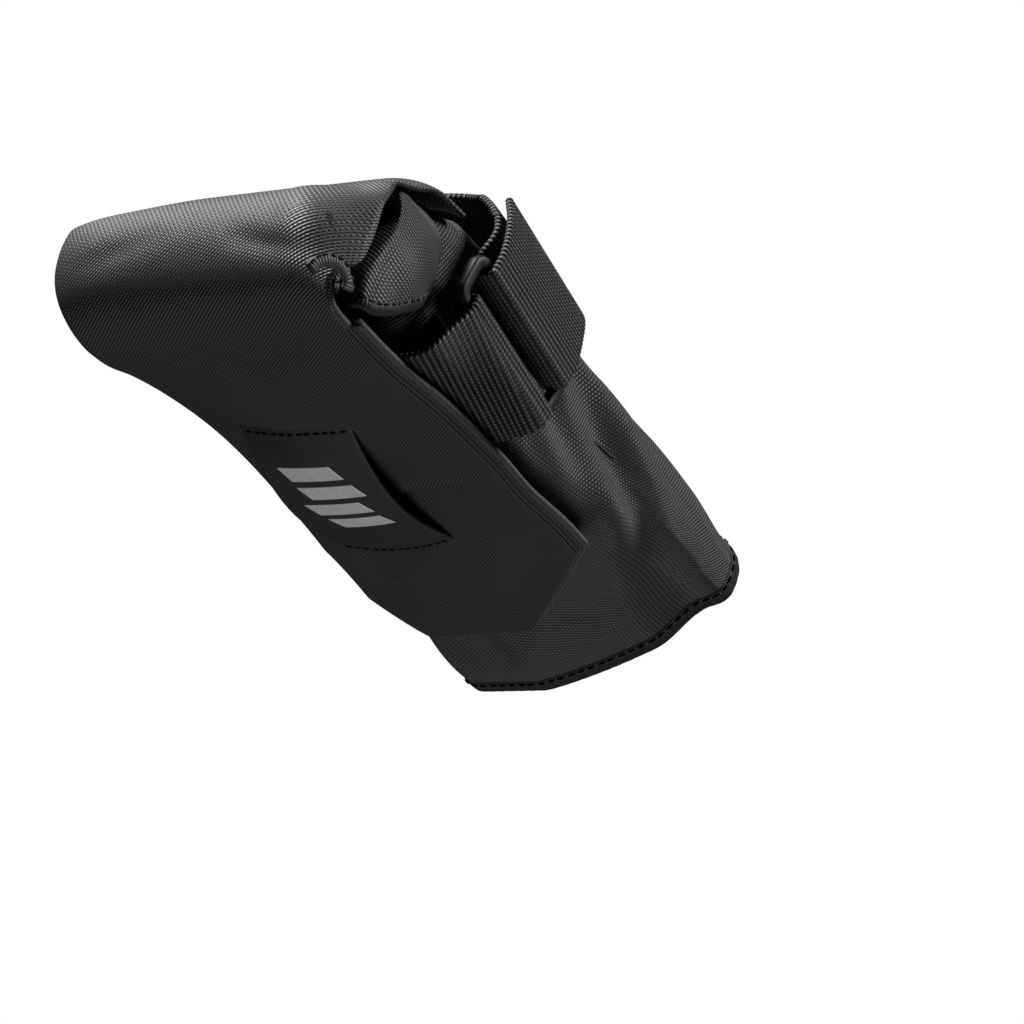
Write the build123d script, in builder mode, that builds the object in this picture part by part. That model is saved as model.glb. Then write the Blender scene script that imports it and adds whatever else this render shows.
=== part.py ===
from build123d import *
import os
from math import cos, radians, sin

# Wrap-style saddle bag: a padded fabric wrap that hangs under a saddle's two rails.
# Millimetres: +X runs forward along the rails, +Y to the bicycle's left, +Z up. The origin is
# midway between the two rail axes, at the middle of the strap that holds the bag. Sizes along,
# across and up are given from the rear datum, the middle plane and the flap's outer face.

os.makedirs("parts", exist_ok=True)

# ---------------------------------------------------------------- driving dimensions
RAIL_D = 7.0                # round saddle rail
RAIL_SPACING = 44.0         # between the rail axes
RAIL_DROP = 50.0            # rail axis down to the flap's outer face
STRAP_REACH = 59.0          # strap's middle over the rails, forward of the rear datum

BODY_WIDTH = 77.0
BODY_LENGTH = 176.0         # rear datum to the front mouth
MOUTH_L = 10.0              # straight stretch behind the front mouth
FOLD_R = 16.0               # outside radius of the rear fold
FOLD_X = 6.4                # fold centre, forward of the rear datum
CREST_H = 45.5              # flap face up to the body's top, under the rails
CREST_HALF = 21.0           # half the level stretch under the rails
SHOULDER_L = 20.0           # from there forward to where the top starts down to the mouth
SHOULDER_DROP = 2.0
NOSE_L = 8.0                # from the fold's centre to where the top starts up to the crest
NOSE_RISE = 1.5
MOUTH_H = 36.0              # flap face up to the body's top, at the mouth
BELLY_DROP = 3.0            # belly below the flap's face, ahead of the flap's tip
BELLY_GAP = 4.0             # from the flap's tip to where the belly starts down
BELLY_L = 12.0              # length of that slope
RAMP_START = 6.0            # underside stays level this far past the strap
RAMP_L = 10.0               # then drops to the fastener's face over this length
EDGE_R = 11.0               # roundness of the body's long edges
BEND_R = 4.0                # roundness of the side outline's corners

WRAP_T = 1.2                # outer woven wrap
LINING_T = 0.8
SKIN_GAP = 0.15             # between sewn layers of one body
RUN_GAP = 0.4               # between layers of different bodies

FLAP_WIDTH = 70.0
FLAP_LENGTH = 137.0         # fold centre to tip
FLAP_TIP_W = 34.0           # straight part of the tip
FLAP_CHAMFER_L = 37.0       # length taken by the slanted near corner
FLAP_CORNER_L = 18.0        # length taken by the smaller far corner
FLAP_CORNER_W = 7.0
INNER_REACH = 2.5           # inner flap panel beyond the outer one, on the near side
PANEL_T = 0.7
TAPE_T = 0.3                # binding tape, one face
TAPE_W = 4.5
HOOK_T = 0.6
SEAM_X = 72.0               # seam of the hook patch, forward of the rear datum
HOOK_INSET = 2.0            # hook patch inside the binding
HOOK_NARROW = 14.0          # hook patch is this much narrower than the flap inside its bindings
PATCH_R = 2.0

WING_T = 1.3
WING_LENGTH = 31.0          # fold centre to the wing's front corner
WING_REAR = 4.0             # wing's rear edge behind the fold's centre
WING_CLEAR = 0.2            # wing to webbing

STRAP_W = 38.0
STRAP_T = 1.8
STRAP_BASE_X = 47.0         # middle of the strap under the body, forward of the rear datum
BASE_INSET = 4.9            # strap's base ends inside the body's side
FASTENER_T = 0.5            # hook tape and loop tape on the strap
FASTENER_INSET = 3.0
WEB_BEND_R = 1.2            # webbing's sharpest turn, at its middle

RING_PLAY = 1.0             # webbing's play between the ring's ends
RING_BAR = 4.0              # bar height
RING_T = 3.0
RING_PITCH = 14.0           # between the bars' middles
RING_SIDE = 3.5
RING_CORNER_R = 3.0
RING_EDGE_R = 1.0
RING_LEAN = 4.0             # ring leans outward by this angle, degrees
RING_TURN = 13.6            # bars slope nose-down by this angle, degrees
RING_X = 52.0
RING_H = 21.0
RING_CLEAR = 0.35           # webbing to the lower bar
RING_SLACK = 0.5            # more room at the upper bar, for the ring to rock
JOIN_L = 7.0                # from the ring's top to where riser and tail meet
TAIL_LENGTH = 19.0          # beyond that meeting
RISER_LENGTH = 10.0
TAIL_ROOT = 0.2             # tail's hinge line above the upper bar's middle
TAIL_LEAN = 12.0            # riser and tail lean back in, degrees from the ring's plane

LOOP_W = 31.0               # light loop
LOOP_LENGTH = 58.0
LOOP_RISE = 6.0
LOOP_T = 1.2
LOOP_TAB = 5.0
LOOP_X = 45.0
LOOP_Y = 8.0                # towards the far side
LOOP_OVERLAP = 1.0          # curved part runs this far into its flat tabs
PRINT_T = 0.2
PRINT_L = 24.0
PRINT_W = 20.0

POCKET_T = 0.8
POCKET_LENGTH = 96.0
POCKET_GAP = 2.0
POCKET_R = 3.0
POCKET_BACK = 24.0          # pockets start this far behind the strap's front edge
ELASTIC_W = 6.0
ELASTIC_T = 1.5
DIVIDER_T = 0.6
DIVIDER_H = 23.0
DIVIDER_STOP = 16.0         # divider ends this far inside the mouth

# ---------------------------------------------------------------- derived values
REAR_X = -STRAP_REACH
BASE_Z = -RAIL_DROP
FLAP_T = 4 * TAPE_T + 2 * PANEL_T
HALF = BODY_WIDTH / 2
UNDER_FLAP = FLAP_T + RUN_GAP               # lowest height of what the flap covers
OVER_STRAP = UNDER_FLAP + STRAP_T + SKIN_GAP
PATCH_SEAT = UNDER_FLAP + HOOK_T
NOSE_R = FOLD_R - UNDER_FLAP
SKIN = WRAP_T + SKIN_GAP + LINING_T
STRAP_REAR = STRAP_BASE_X - STRAP_W / 2
STRAP_FRONT = STRAP_BASE_X + STRAP_W / 2
FLAP_TIP = FOLD_X + FLAP_LENGTH
BELLY_START = FLAP_TIP + BELLY_GAP
FLAP_EDGE = FLAP_WIDTH / 2
SIDE = max(HALF, FLAP_EDGE + INNER_REACH)   # what passes outside the body and the flap starts here
FLOOR_H = OVER_STRAP + SKIN + SKIN_GAP
RING_L = STRAP_W + 2 * RING_SIDE + RING_PLAY
PAST = 2.0                                  # a cut runs this far past the face it opens


def row(along, across, height):
    """Row position of a point given from the rear datum and the flap's outer face."""
    return Vector(REAR_X + along, across, BASE_Z + height)


def pillow(inset, reach):
    """Side outline of the body, drawn in by inset, with its long edges rounded."""
    ramp = STRAP_FRONT + RAMP_START
    under = [(STRAP_REAR - RAMP_START, OVER_STRAP), (ramp, OVER_STRAP), (ramp + RAMP_L, PATCH_SEAT),
             (BELLY_START, PATCH_SEAT), (BELLY_START + BELLY_L, -BELLY_DROP), (BODY_LENGTH, -BELLY_DROP)]
    over = [(BODY_LENGTH, MOUTH_H), (BODY_LENGTH - MOUTH_L, MOUTH_H),
            (STRAP_REACH + CREST_HALF + SHOULDER_L, CREST_H - SHOULDER_DROP),
            (STRAP_REACH + CREST_HALF, CREST_H), (STRAP_REACH - CREST_HALF, CREST_H),
            (FOLD_X + NOSE_L, FOLD_R + NOSE_R + NOSE_RISE)]
    with BuildPart() as body:
        with BuildSketch(Plane.XZ) as side:
            with BuildLine():
                rear = (REAR_X + FOLD_X - NOSE_R, BASE_Z + FOLD_R)
                low = (REAR_X + FOLD_X, BASE_Z + UNDER_FLAP)
                high = (REAR_X + FOLD_X, BASE_Z + FOLD_R + NOSE_R)
                ThreePointArc(high, rear, low)
                outline = [(REAR_X + x, BASE_Z + z) for x, z in under + over]
                Polyline([low] + outline + [high])
            make_face()
            front_corners = side.vertices().group_by(Axis.X)[-1]
            fillet([v for v in side.vertices() if v not in front_corners], BEND_R)
            if inset:
                offset(amount=-inset, kind=Kind.INTERSECTION)
        extrude(amount=HALF - inset, both=True)
        rims = body.edges().filter_by(lambda e: abs(abs(e.center().Y) - HALF + inset) < 0.01)
        front = REAR_X + BODY_LENGTH - inset
        fillet(rims.filter_by(lambda e: e.center().X < front - 0.01), EDGE_R - inset)
        if reach:
            extrude(body.faces().sort_by(Axis.X)[-1], amount=reach)
    return body.part


def slab(x_low, x_high, y_low, y_high, z_low, z_high):
    """Corner and size of a plain block, given from the rear datum and the flap's face."""
    size = (x_high - x_low, y_high - y_low, z_high - z_low)
    middle = row((x_low + x_high) / 2, (y_low + y_high) / 2, (z_low + z_high) / 2)
    return middle, size


def finish(part, name):
    part.label = name
    export_step(part, f"parts/{name}.step")


# ---------------------------------------------------------------- wrap body
skin_outer = pillow(0, 0)
skin_inner = pillow(WRAP_T, WRAP_T + PAST)
lining_outer = pillow(WRAP_T + SKIN_GAP, 0)
lining_inner = pillow(SKIN, SKIN + PAST)

with BuildPart() as outer_wrap:
    add(skin_outer)
    add(skin_inner, mode=Mode.SUBTRACT)
finish(outer_wrap.part, "outer_wrap")

with BuildPart() as lining:
    add(lining_outer)
    add(lining_inner, mode=Mode.SUBTRACT)
finish(lining.part, "lining")


def mouth_outline(grow):
    """The mouth's rounded outline, grown outward by grow."""
    height = MOUTH_H + BELLY_DROP
    with BuildSketch(Plane.YZ) as mouth:
        with Locations((0, BASE_Z + MOUTH_H - height / 2)):
            RectangleRounded(BODY_WIDTH + 2 * grow, height + 2 * grow, EDGE_R + grow)
    return mouth.sketch_local


mouth_edge = REAR_X + BODY_LENGTH
tape_outer = mouth_outline(TAPE_T)
tape_inner = mouth_outline(-SKIN - TAPE_T)
tape_slot = mouth_outline(0)
slot_inner = mouth_outline(-SKIN)

with BuildPart() as front_binding:
    with BuildSketch(Plane.YZ.offset(mouth_edge - TAPE_W)):
        add(tape_outer)
        add(tape_inner, mode=Mode.SUBTRACT)
    extrude(amount=TAPE_W + TAPE_T + SKIN_GAP)
    with BuildSketch(Plane.YZ.offset(mouth_edge - TAPE_W)):
        add(tape_slot)
        add(slot_inner, mode=Mode.SUBTRACT)
    extrude(amount=TAPE_W + SKIN_GAP, mode=Mode.SUBTRACT)
    add(outer_wrap.part, mode=Mode.SUBTRACT)
    add(lining.part, mode=Mode.SUBTRACT)
finish(front_binding.part, "front_binding")

# ---------------------------------------------------------------- pockets inside
POCKETS = ["pocket_lever", "pocket_inflator", "pocket_patches"]
floor_half = HALF - EDGE_R - POCKET_GAP / 2
pocket_w = (2 * floor_half - (len(POCKETS) - 1) * POCKET_GAP) / len(POCKETS)
pocket_rear = STRAP_FRONT - POCKET_BACK
pocket_front = pocket_rear + POCKET_LENGTH

for order, pocket_name in enumerate(POCKETS):
    low_y = -floor_half + order * (pocket_w + POCKET_GAP)
    place, size = slab(pocket_rear, pocket_front, low_y, low_y + pocket_w, FLOOR_H, FLOOR_H + POCKET_T)
    with BuildPart() as pocket:
        with BuildSketch(Plane.XY.offset(place.Z - size[2] / 2)):
            with Locations((place.X, place.Y)):
                RectangleRounded(size[0], size[1], POCKET_R)
        extrude(amount=POCKET_T)
    finish(pocket.part, pocket_name)

with BuildPart() as pocket_elastics:
    for order in range(len(POCKETS)):
        middle_y = -floor_half + order * (pocket_w + POCKET_GAP) + pocket_w / 2
        elastic_x = pocket_front + SKIN_GAP + ELASTIC_W / 2
        with Locations(row(elastic_x, middle_y, FLOOR_H + ELASTIC_T / 2)):
            Box(ELASTIC_W, pocket_w, ELASTIC_T)
finish(pocket_elastics.part, "pocket_elastics")

with BuildPart() as mesh_divider:
    place, size = slab(STRAP_REAR, BODY_LENGTH - DIVIDER_STOP, -HALF + SKIN + SKIN_GAP,
                       HALF - SKIN - SKIN_GAP, DIVIDER_H, DIVIDER_H + DIVIDER_T)
    with Locations(place):
        Box(*size)
finish(mesh_divider.part, "mesh_divider")

# ---------------------------------------------------------------- rear fold and side wings
with BuildPart() as rear_fold:
    with BuildSketch(Plane.XZ) as ring_section:
        with Locations((REAR_X + FOLD_X, BASE_Z + FOLD_R)):
            Circle(FOLD_R)
            Circle(FOLD_R - FLAP_T, mode=Mode.SUBTRACT)
        with Locations((REAR_X + FOLD_X + FOLD_R, BASE_Z + FOLD_R)):
            Rectangle(2 * FOLD_R, 3 * FOLD_R, mode=Mode.SUBTRACT)
    extrude(amount=FLAP_EDGE + INNER_REACH, both=True)
finish(rear_fold.part, "rear_fold")

wing_low = OVER_STRAP + EDGE_R / 2
wing_high = CREST_H - EDGE_R - 1
wing_face = SIDE + SKIN_GAP


def wing_outline(trim):
    """Side view of a folded wing: a low rear corner rising to a long upper edge."""
    shape = [(-WING_REAR, wing_low + trim), (-WING_REAR, FOLD_R + 6), (9, wing_high),
             (WING_LENGTH - 8, wing_high), (WING_LENGTH, FOLD_R + 4 + trim)]
    return [(REAR_X + FOLD_X + x, BASE_Z + z) for x, z in shape]


def wing_layer(side, trim, low, high):
    """One flat layer of a wing between two distances outside the body's middle plane."""
    with BuildPart() as layer:
        with BuildSketch(Plane.XZ.offset(-side * low)):
            with BuildLine():
                Polyline(wing_outline(trim), close=True)
            make_face()
        extrude(amount=-side * (high - low))
    return layer.part


WINGS = {"near": -1, "far": 1}
for side_name, side in WINGS.items():
    whole = wing_layer(side, 0, wing_face, wing_face + WING_T)
    kept = wing_layer(side, TAPE_W, wing_face, wing_face + WING_T)
    with BuildPart() as wing:
        add(kept)
    finish(wing.part, f"{side_name}_wing")
    with BuildPart() as wing_binding:
        add(whole)
        add(kept, mode=Mode.SUBTRACT)
    finish(wing_binding.part, f"{side_name}_wing_binding")

# ---------------------------------------------------------------- flap


def flap_outline(reach, grow):
    """Flap outline from the fold's centre line forward; reach widens the near side."""
    near = -FLAP_EDGE - reach
    corner_y = FLAP_EDGE - FLAP_CORNER_W
    chamfer_y = corner_y - FLAP_TIP_W
    start = REAR_X + FOLD_X
    tip = REAR_X + FLAP_TIP
    with BuildSketch() as cut:
        with BuildLine():
            Polyline((start - 2 * FOLD_R, FLAP_EDGE), (tip - FLAP_CORNER_L, FLAP_EDGE), (tip, corner_y),
                     (tip, chamfer_y - reach), (tip - FLAP_CHAMFER_L, near), (start - 2 * FOLD_R, near),
                     close=True)
        make_face()
        if grow:
            offset(amount=grow, kind=Kind.INTERSECTION)
        with Locations((start + BODY_LENGTH, 0)):
            Rectangle(2 * BODY_LENGTH, 2 * BODY_LENGTH, mode=Mode.INTERSECT)
    return cut.sketch


def flap_layer(reach, low, height):
    """A flat panel of the flap's outline, low above the flap's outer face."""
    outline = flap_outline(reach, 0)
    with BuildPart() as layer:
        with BuildSketch(Plane.XY.offset(BASE_Z + low)):
            add(outline)
        extrude(amount=height)
    return layer.part


def edge_tape(reach, low, panel):
    """Binding tape folded over the free edges of a panel."""
    outside = flap_outline(reach, TAPE_T)
    inside = flap_outline(reach, -TAPE_W)
    with BuildPart() as tape:
        with BuildSketch(Plane.XY.offset(BASE_Z + low)):
            add(outside)
            add(inside, mode=Mode.SUBTRACT)
        extrude(amount=PANEL_T + 2 * TAPE_T)
        add(panel, mode=Mode.SUBTRACT)
    return tape.part


inner_low = PANEL_T + 2 * TAPE_T
flap_panel = flap_layer(0, TAPE_T, PANEL_T)
flap_inner_panel = flap_layer(INNER_REACH, inner_low + TAPE_T, PANEL_T)
finish(flap_panel, "flap_panel")
finish(flap_inner_panel, "flap_inner_panel")
finish(edge_tape(0, 0, flap_panel), "flap_binding")
finish(edge_tape(INNER_REACH, inner_low, flap_inner_panel), "flap_inner_binding")

patch_inset = TAPE_W + HOOK_INSET
hook_patch_l = FLAP_TIP - FLAP_CHAMFER_L - SEAM_X + 3 * HOOK_INSET
hook_patch_w = FLAP_WIDTH - 2 * patch_inset - HOOK_NARROW
hook_low = inner_low + TAPE_T + PANEL_T
hook_y = FLAP_EDGE - patch_inset - hook_patch_w / 2
hook_x = REAR_X + SEAM_X + 2 * HOOK_INSET + hook_patch_l / 2

with BuildPart() as hook_patch:
    with BuildSketch(Plane.XY.offset(BASE_Z + hook_low)):
        with Locations((hook_x, hook_y)):
            RectangleRounded(hook_patch_l, hook_patch_w, PATCH_R)
    extrude(amount=TAPE_T)
finish(hook_patch.part, "hook_patch")

loop_patch_x = STRAP_FRONT + RAMP_START + RAMP_L + PATCH_R
loop_patch_l = FLAP_TIP - loop_patch_x - 2 * BELLY_GAP
with BuildPart() as loop_patch:
    with BuildSketch(Plane.XY.offset(BASE_Z + UNDER_FLAP)):
        with Locations((REAR_X + loop_patch_x + loop_patch_l / 2, hook_y)):
            RectangleRounded(loop_patch_l, hook_patch_w, PATCH_R)
    extrude(amount=HOOK_T)
finish(loop_patch.part, "loop_patch")

# ---------------------------------------------------------------- light loop on the flap
loop_r = ((LOOP_LENGTH / 2) ** 2 + LOOP_RISE ** 2) / (2 * LOOP_RISE)
loop_middle = (REAR_X + LOOP_X + LOOP_LENGTH / 2, BASE_Z + TAPE_T - LOOP_RISE + loop_r)
loop_plane = Plane.XZ.offset(-LOOP_Y)
tab_mid = (LOOP_LENGTH + LOOP_TAB) / 2
join_mid = LOOP_LENGTH / 2 - LOOP_OVERLAP
tab_z = BASE_Z + TAPE_T - LOOP_T / 2

with BuildPart() as light_loop:
    with BuildSketch(loop_plane):
        with Locations(loop_middle):
            Circle(loop_r + LOOP_T)
            Circle(loop_r, mode=Mode.SUBTRACT)
        with Locations((loop_middle[0], BASE_Z + TAPE_T - loop_r)):
            Rectangle(LOOP_LENGTH, 2 * loop_r, mode=Mode.INTERSECT)
        for end in (-1, 1):
            with Locations((loop_middle[0] + end * tab_mid, tab_z)):
                Rectangle(LOOP_TAB, LOOP_T)
            with Locations((loop_middle[0] + end * join_mid, tab_z)):
                Rectangle(2.4 * LOOP_OVERLAP, LOOP_T)
    extrude(amount=LOOP_W / 2, both=True)
finish(light_loop.part, "light_loop")

with BuildPart() as reflective_patch:
    with BuildSketch(loop_plane):
        with Locations(loop_middle):
            Circle(loop_r + LOOP_T + PRINT_T)
            Circle(loop_r + LOOP_T, mode=Mode.SUBTRACT)
        with Locations((loop_middle[0], BASE_Z - loop_r)):
            Rectangle(PRINT_L, 2 * loop_r, mode=Mode.INTERSECT)
    extrude(amount=PRINT_W / 2, both=True)
finish(reflective_patch.part, "reflective_patch")

# ---------------------------------------------------------------- strap ring
turn = radians(RING_TURN)
lean = radians(RING_LEAN)
bar_dir = Vector(cos(turn), 0, -sin(turn))
rise_dir = Vector(sin(turn), 0, cos(turn))
out_dir = Vector(0, -1, 0)
ring_up = rise_dir * cos(lean) + out_dir * sin(lean)
ring_out = out_dir * cos(lean) - rise_dir * sin(lean)
beside = RING_T / 2 + RING_CLEAR + STRAP_T / 2      # middle of a webbing layer beside the lower bar
above = beside + RING_SLACK                         # and beside the upper bar
ring_offset = SKIN_GAP + WING_T + WING_CLEAR + above + STRAP_T / 2
ring_middle = row(RING_X, -SIDE - ring_offset, RING_H)
ring_plane = Plane(origin=ring_middle, x_dir=bar_dir, z_dir=ring_out)
window_h = RING_PITCH - RING_BAR
ring_h = RING_PITCH + RING_BAR
# webbing profiles are drawn looking along the bars: first axis up the ring, second axis outward
web_plane = Plane(origin=ring_middle, x_dir=ring_up, z_dir=bar_dir * -1)
OUT = 1.0 if web_plane.y_dir.dot(ring_out) > 0 else -1.0

with BuildPart() as strap_ring:
    with BuildSketch(ring_plane.offset(-RING_T / 2)):
        RectangleRounded(RING_L, ring_h, RING_CORNER_R)
        Rectangle(RING_L - 2 * RING_SIDE, window_h, mode=Mode.SUBTRACT)
    extrude(amount=RING_T)
    long_edges = strap_ring.edges().filter_by(lambda e: e.length > STRAP_W)
    fillet(long_edges, RING_EDGE_R)
finish(strap_ring.part, "strap_ring")


def web_run(points, width, thick):
    """A strip of webbing: the path through points, thick across it, width along the bars."""
    with BuildPart() as run:
        with BuildSketch(web_plane):
            with BuildLine():
                if len(points) > 2:
                    FilletPolyline(*[(u, OUT * t) for u, t in points], radius=WEB_BEND_R)
                else:
                    Polyline(*[(u, OUT * t) for u, t in points])
            trace(line_width=thick)
        extrude(amount=width / 2, both=True)
    return run.part


lower_bar = -RING_PITCH / 2
upper_bar = RING_PITCH / 2
over_lower = lower_bar + RING_BAR / 2 + RING_CLEAR + STRAP_T / 2
under_upper = upper_bar - RING_BAR / 2 - RING_CLEAR - RING_SLACK - STRAP_T / 2
base_end = HALF - BASE_INSET
base_mid_h = UNDER_FLAP + STRAP_T / 2
loop_start = (lower_bar - 3, beside)
loop_turn = web_run([loop_start, (over_lower, beside), (over_lower, -beside), (lower_bar - 1.5, -beside)],
                    STRAP_W, STRAP_T)
run_top = ring_middle + ring_up * loop_start[0] + ring_out * loop_start[1]
run_foot = row(STRAP_BASE_X, -base_end - SKIN_GAP, base_mid_h)
run_bend = row(STRAP_BASE_X + 1, -SIDE - 1.6, base_mid_h + 4.4)
half_turn = Vector(cos(turn / 2), 0, -sin(turn / 2))
ahead = Vector(1, 0, 0)


def strip(stations):
    """Webbing lofted through (middle, width direction, direction of travel) stations."""
    with BuildPart() as run:
        for middle, width_dir, travel in stations:
            with BuildSketch(Plane(origin=middle, x_dir=width_dir, z_dir=travel)):
                Rectangle(STRAP_W, STRAP_T)
        loft(ruled=True)
    return run.part


run_up = strip([(run_foot, ahead, out_dir), (run_bend, half_turn, out_dir * 0.8 + rise_dir * 0.6),
                (run_top, bar_dir, ring_up)])
with BuildPart() as strap_near_loop:
    add(loop_turn)
    add(run_up)
finish(strap_near_loop.part, "strap_near_loop")

tail_lean = radians(TAIL_LEAN)
riser_start = upper_bar + RING_BAR / 2
meet = riser_start + JOIN_L
split = FASTENER_T + RUN_GAP / 2 + STRAP_T / 2       # each layer's middle from the joint line


def leaned(distance, aside):
    """Point distance up the joint line of riser and tail, and aside of it (outward positive)."""
    return (meet + distance * cos(tail_lean) + aside * sin(tail_lean),
            -distance * sin(tail_lean) + aside * cos(tail_lean))


tail_foot = upper_bar + TAIL_ROOT
strap_riser = web_run([(tail_foot, above), (under_upper, above), (under_upper, -above),
                       (riser_start, -above), leaned(0, -split), leaned(RISER_LENGTH, -split)],
                      STRAP_W, STRAP_T)
finish(strap_riser, "strap_riser")

strap_tail = web_run([(tail_foot + RUN_GAP, above), (riser_start, above), leaned(0, split),
                      leaned(TAIL_LENGTH, split)], STRAP_W, STRAP_T)
finish(strap_tail, "strap_tail")

tape_mid = split - STRAP_T / 2 - FASTENER_T / 2
tape_foot = JOIN_L / 2
FASTENERS = {"strap_hook_tape": 1, "strap_loop_tape": -1}
for tape_name, tape_side in FASTENERS.items():
    tape = web_run([leaned(tape_foot, tape_side * tape_mid),
                    leaned(RISER_LENGTH - 1, tape_side * tape_mid)],
                   STRAP_W - 2 * FASTENER_INSET, FASTENER_T)
    finish(tape, tape_name)

# ---------------------------------------------------------------- strap under, over and down the far side
with BuildPart() as strap_base:
    place, size = slab(STRAP_REAR, STRAP_FRONT, -base_end + STRAP_T, base_end,
                       UNDER_FLAP, UNDER_FLAP + STRAP_T)
    with Locations(place):
        Box(*size)
finish(strap_base.part, "strap_base")

rail_top = RAIL_DROP + RAIL_D / 2 + SKIN_GAP + STRAP_T / 2
rail_side = RAIL_SPACING / 2 + 2
riser_end = leaned(RISER_LENGTH + SKIN_GAP, -split)
riser_top = ring_middle + ring_up * riser_end[0] + ring_out * riser_end[1]
riser_dir = ring_up * cos(tail_lean) - ring_out * sin(tail_lean)
far_side = SIDE + 2 * SKIN_GAP + STRAP_T / 2 + WING_T

near_shoulder = row(STRAP_REACH - 1, -SIDE - 3, rail_top - 3.4)
over_stations = [(riser_top, bar_dir, riser_dir),
                 (near_shoulder, ahead, Vector(0, 0.7, 0.7)),
                 (row(STRAP_REACH, -rail_side, rail_top), ahead, Vector(0, 1, 0)),
                 (row(STRAP_REACH, rail_side, rail_top), ahead, Vector(0, 1, 0)),
                 (row(STRAP_REACH - 1, SIDE - 1, rail_top - 4), ahead, Vector(0, 0.8, -0.6))]
finish(strip(over_stations), "strap_over")

far_top = row(STRAP_REACH - 1.2, SIDE + 1.2, rail_top - 6.2)
far_stations = [(far_top, ahead, Vector(0, 0.6, -0.8)),
                (row(STRAP_REACH - 4, far_side, CREST_H - 8), ahead, Vector(0, 0, -1)),
                (row(STRAP_BASE_X + 1, far_side, OVER_STRAP + EDGE_R - 3), ahead, Vector(0, 0, -1)),
                (row(STRAP_BASE_X, far_side - 3, OVER_STRAP + 2.6), ahead, Vector(0, -0.8, -0.6)),
                (row(STRAP_BASE_X, base_end + 0.4, base_mid_h), ahead, Vector(0, -1, 0))]
finish(strip(far_stations), "strap_far")
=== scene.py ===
import math

import bmesh
import bpy
import numpy as np
from mathutils import Matrix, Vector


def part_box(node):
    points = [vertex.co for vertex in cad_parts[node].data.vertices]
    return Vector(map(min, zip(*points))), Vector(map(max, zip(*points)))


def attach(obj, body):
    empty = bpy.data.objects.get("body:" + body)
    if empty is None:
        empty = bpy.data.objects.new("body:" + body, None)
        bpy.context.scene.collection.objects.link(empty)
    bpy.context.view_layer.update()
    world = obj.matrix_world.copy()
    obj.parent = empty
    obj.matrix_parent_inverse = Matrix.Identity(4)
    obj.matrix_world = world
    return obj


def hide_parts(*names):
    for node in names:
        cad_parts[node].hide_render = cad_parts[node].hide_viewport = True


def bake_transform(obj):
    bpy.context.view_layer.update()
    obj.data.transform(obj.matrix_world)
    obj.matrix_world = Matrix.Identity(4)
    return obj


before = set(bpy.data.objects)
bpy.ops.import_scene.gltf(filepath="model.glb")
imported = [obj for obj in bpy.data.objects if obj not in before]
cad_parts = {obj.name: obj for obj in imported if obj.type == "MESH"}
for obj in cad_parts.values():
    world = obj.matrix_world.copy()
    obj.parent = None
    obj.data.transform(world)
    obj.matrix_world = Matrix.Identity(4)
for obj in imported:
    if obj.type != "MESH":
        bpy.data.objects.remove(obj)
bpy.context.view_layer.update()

# ------------------------------------------------------------------ outer wrap
# The bag's body: one woven panel folded into a soft box that tools keep full, open at the front.
# Coarse ribbed polyester, cut on the bias, so its ribs run slantwise. The strap draws its waist in.
# Sizes are millimetres from the rear datum (along), the middle (across, near side positive) and
# the flap's outer face (up); place() turns them into the frame.
fold_low, fold_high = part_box("rear_fold")
FOLD_R = 16.0
FOLD_A = 6.4
datum_x = fold_high.x - FOLD_A / 1000
face_z = fold_low.z
BODY_L = (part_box("outer_wrap")[1].x - datum_x) * 1000
HALF_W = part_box("outer_wrap")[1].y * 1000
WRAP_T = 1.2


def place(points):
    """Frame position, in metres, of points (along, across, up) in millimetres."""
    points = np.asarray(points, float)
    out = np.empty_like(points)
    out[..., 0] = points[..., 0] / 1000 + datum_x
    out[..., 1] = -points[..., 1] / 1000
    out[..., 2] = points[..., 2] / 1000 + face_z
    return out


def ease(value, start, end):
    """Smooth step: 0 before start, 1 after end, 3t^2 - 2t^3 between."""
    t = np.clip((value - start) / (end - start), 0, 1)
    return t * t * (3 - 2 * t)


def unit(vectors):
    """The same directions, each one long."""
    return vectors / np.maximum(np.linalg.norm(vectors, axis=-1, keepdims=True), 1e-9)


def run_along(path):
    """Distance from the start of a path to each of its points."""
    return np.concatenate([[0], np.cumsum(np.linalg.norm(np.diff(path, axis=0), axis=1))])


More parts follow.
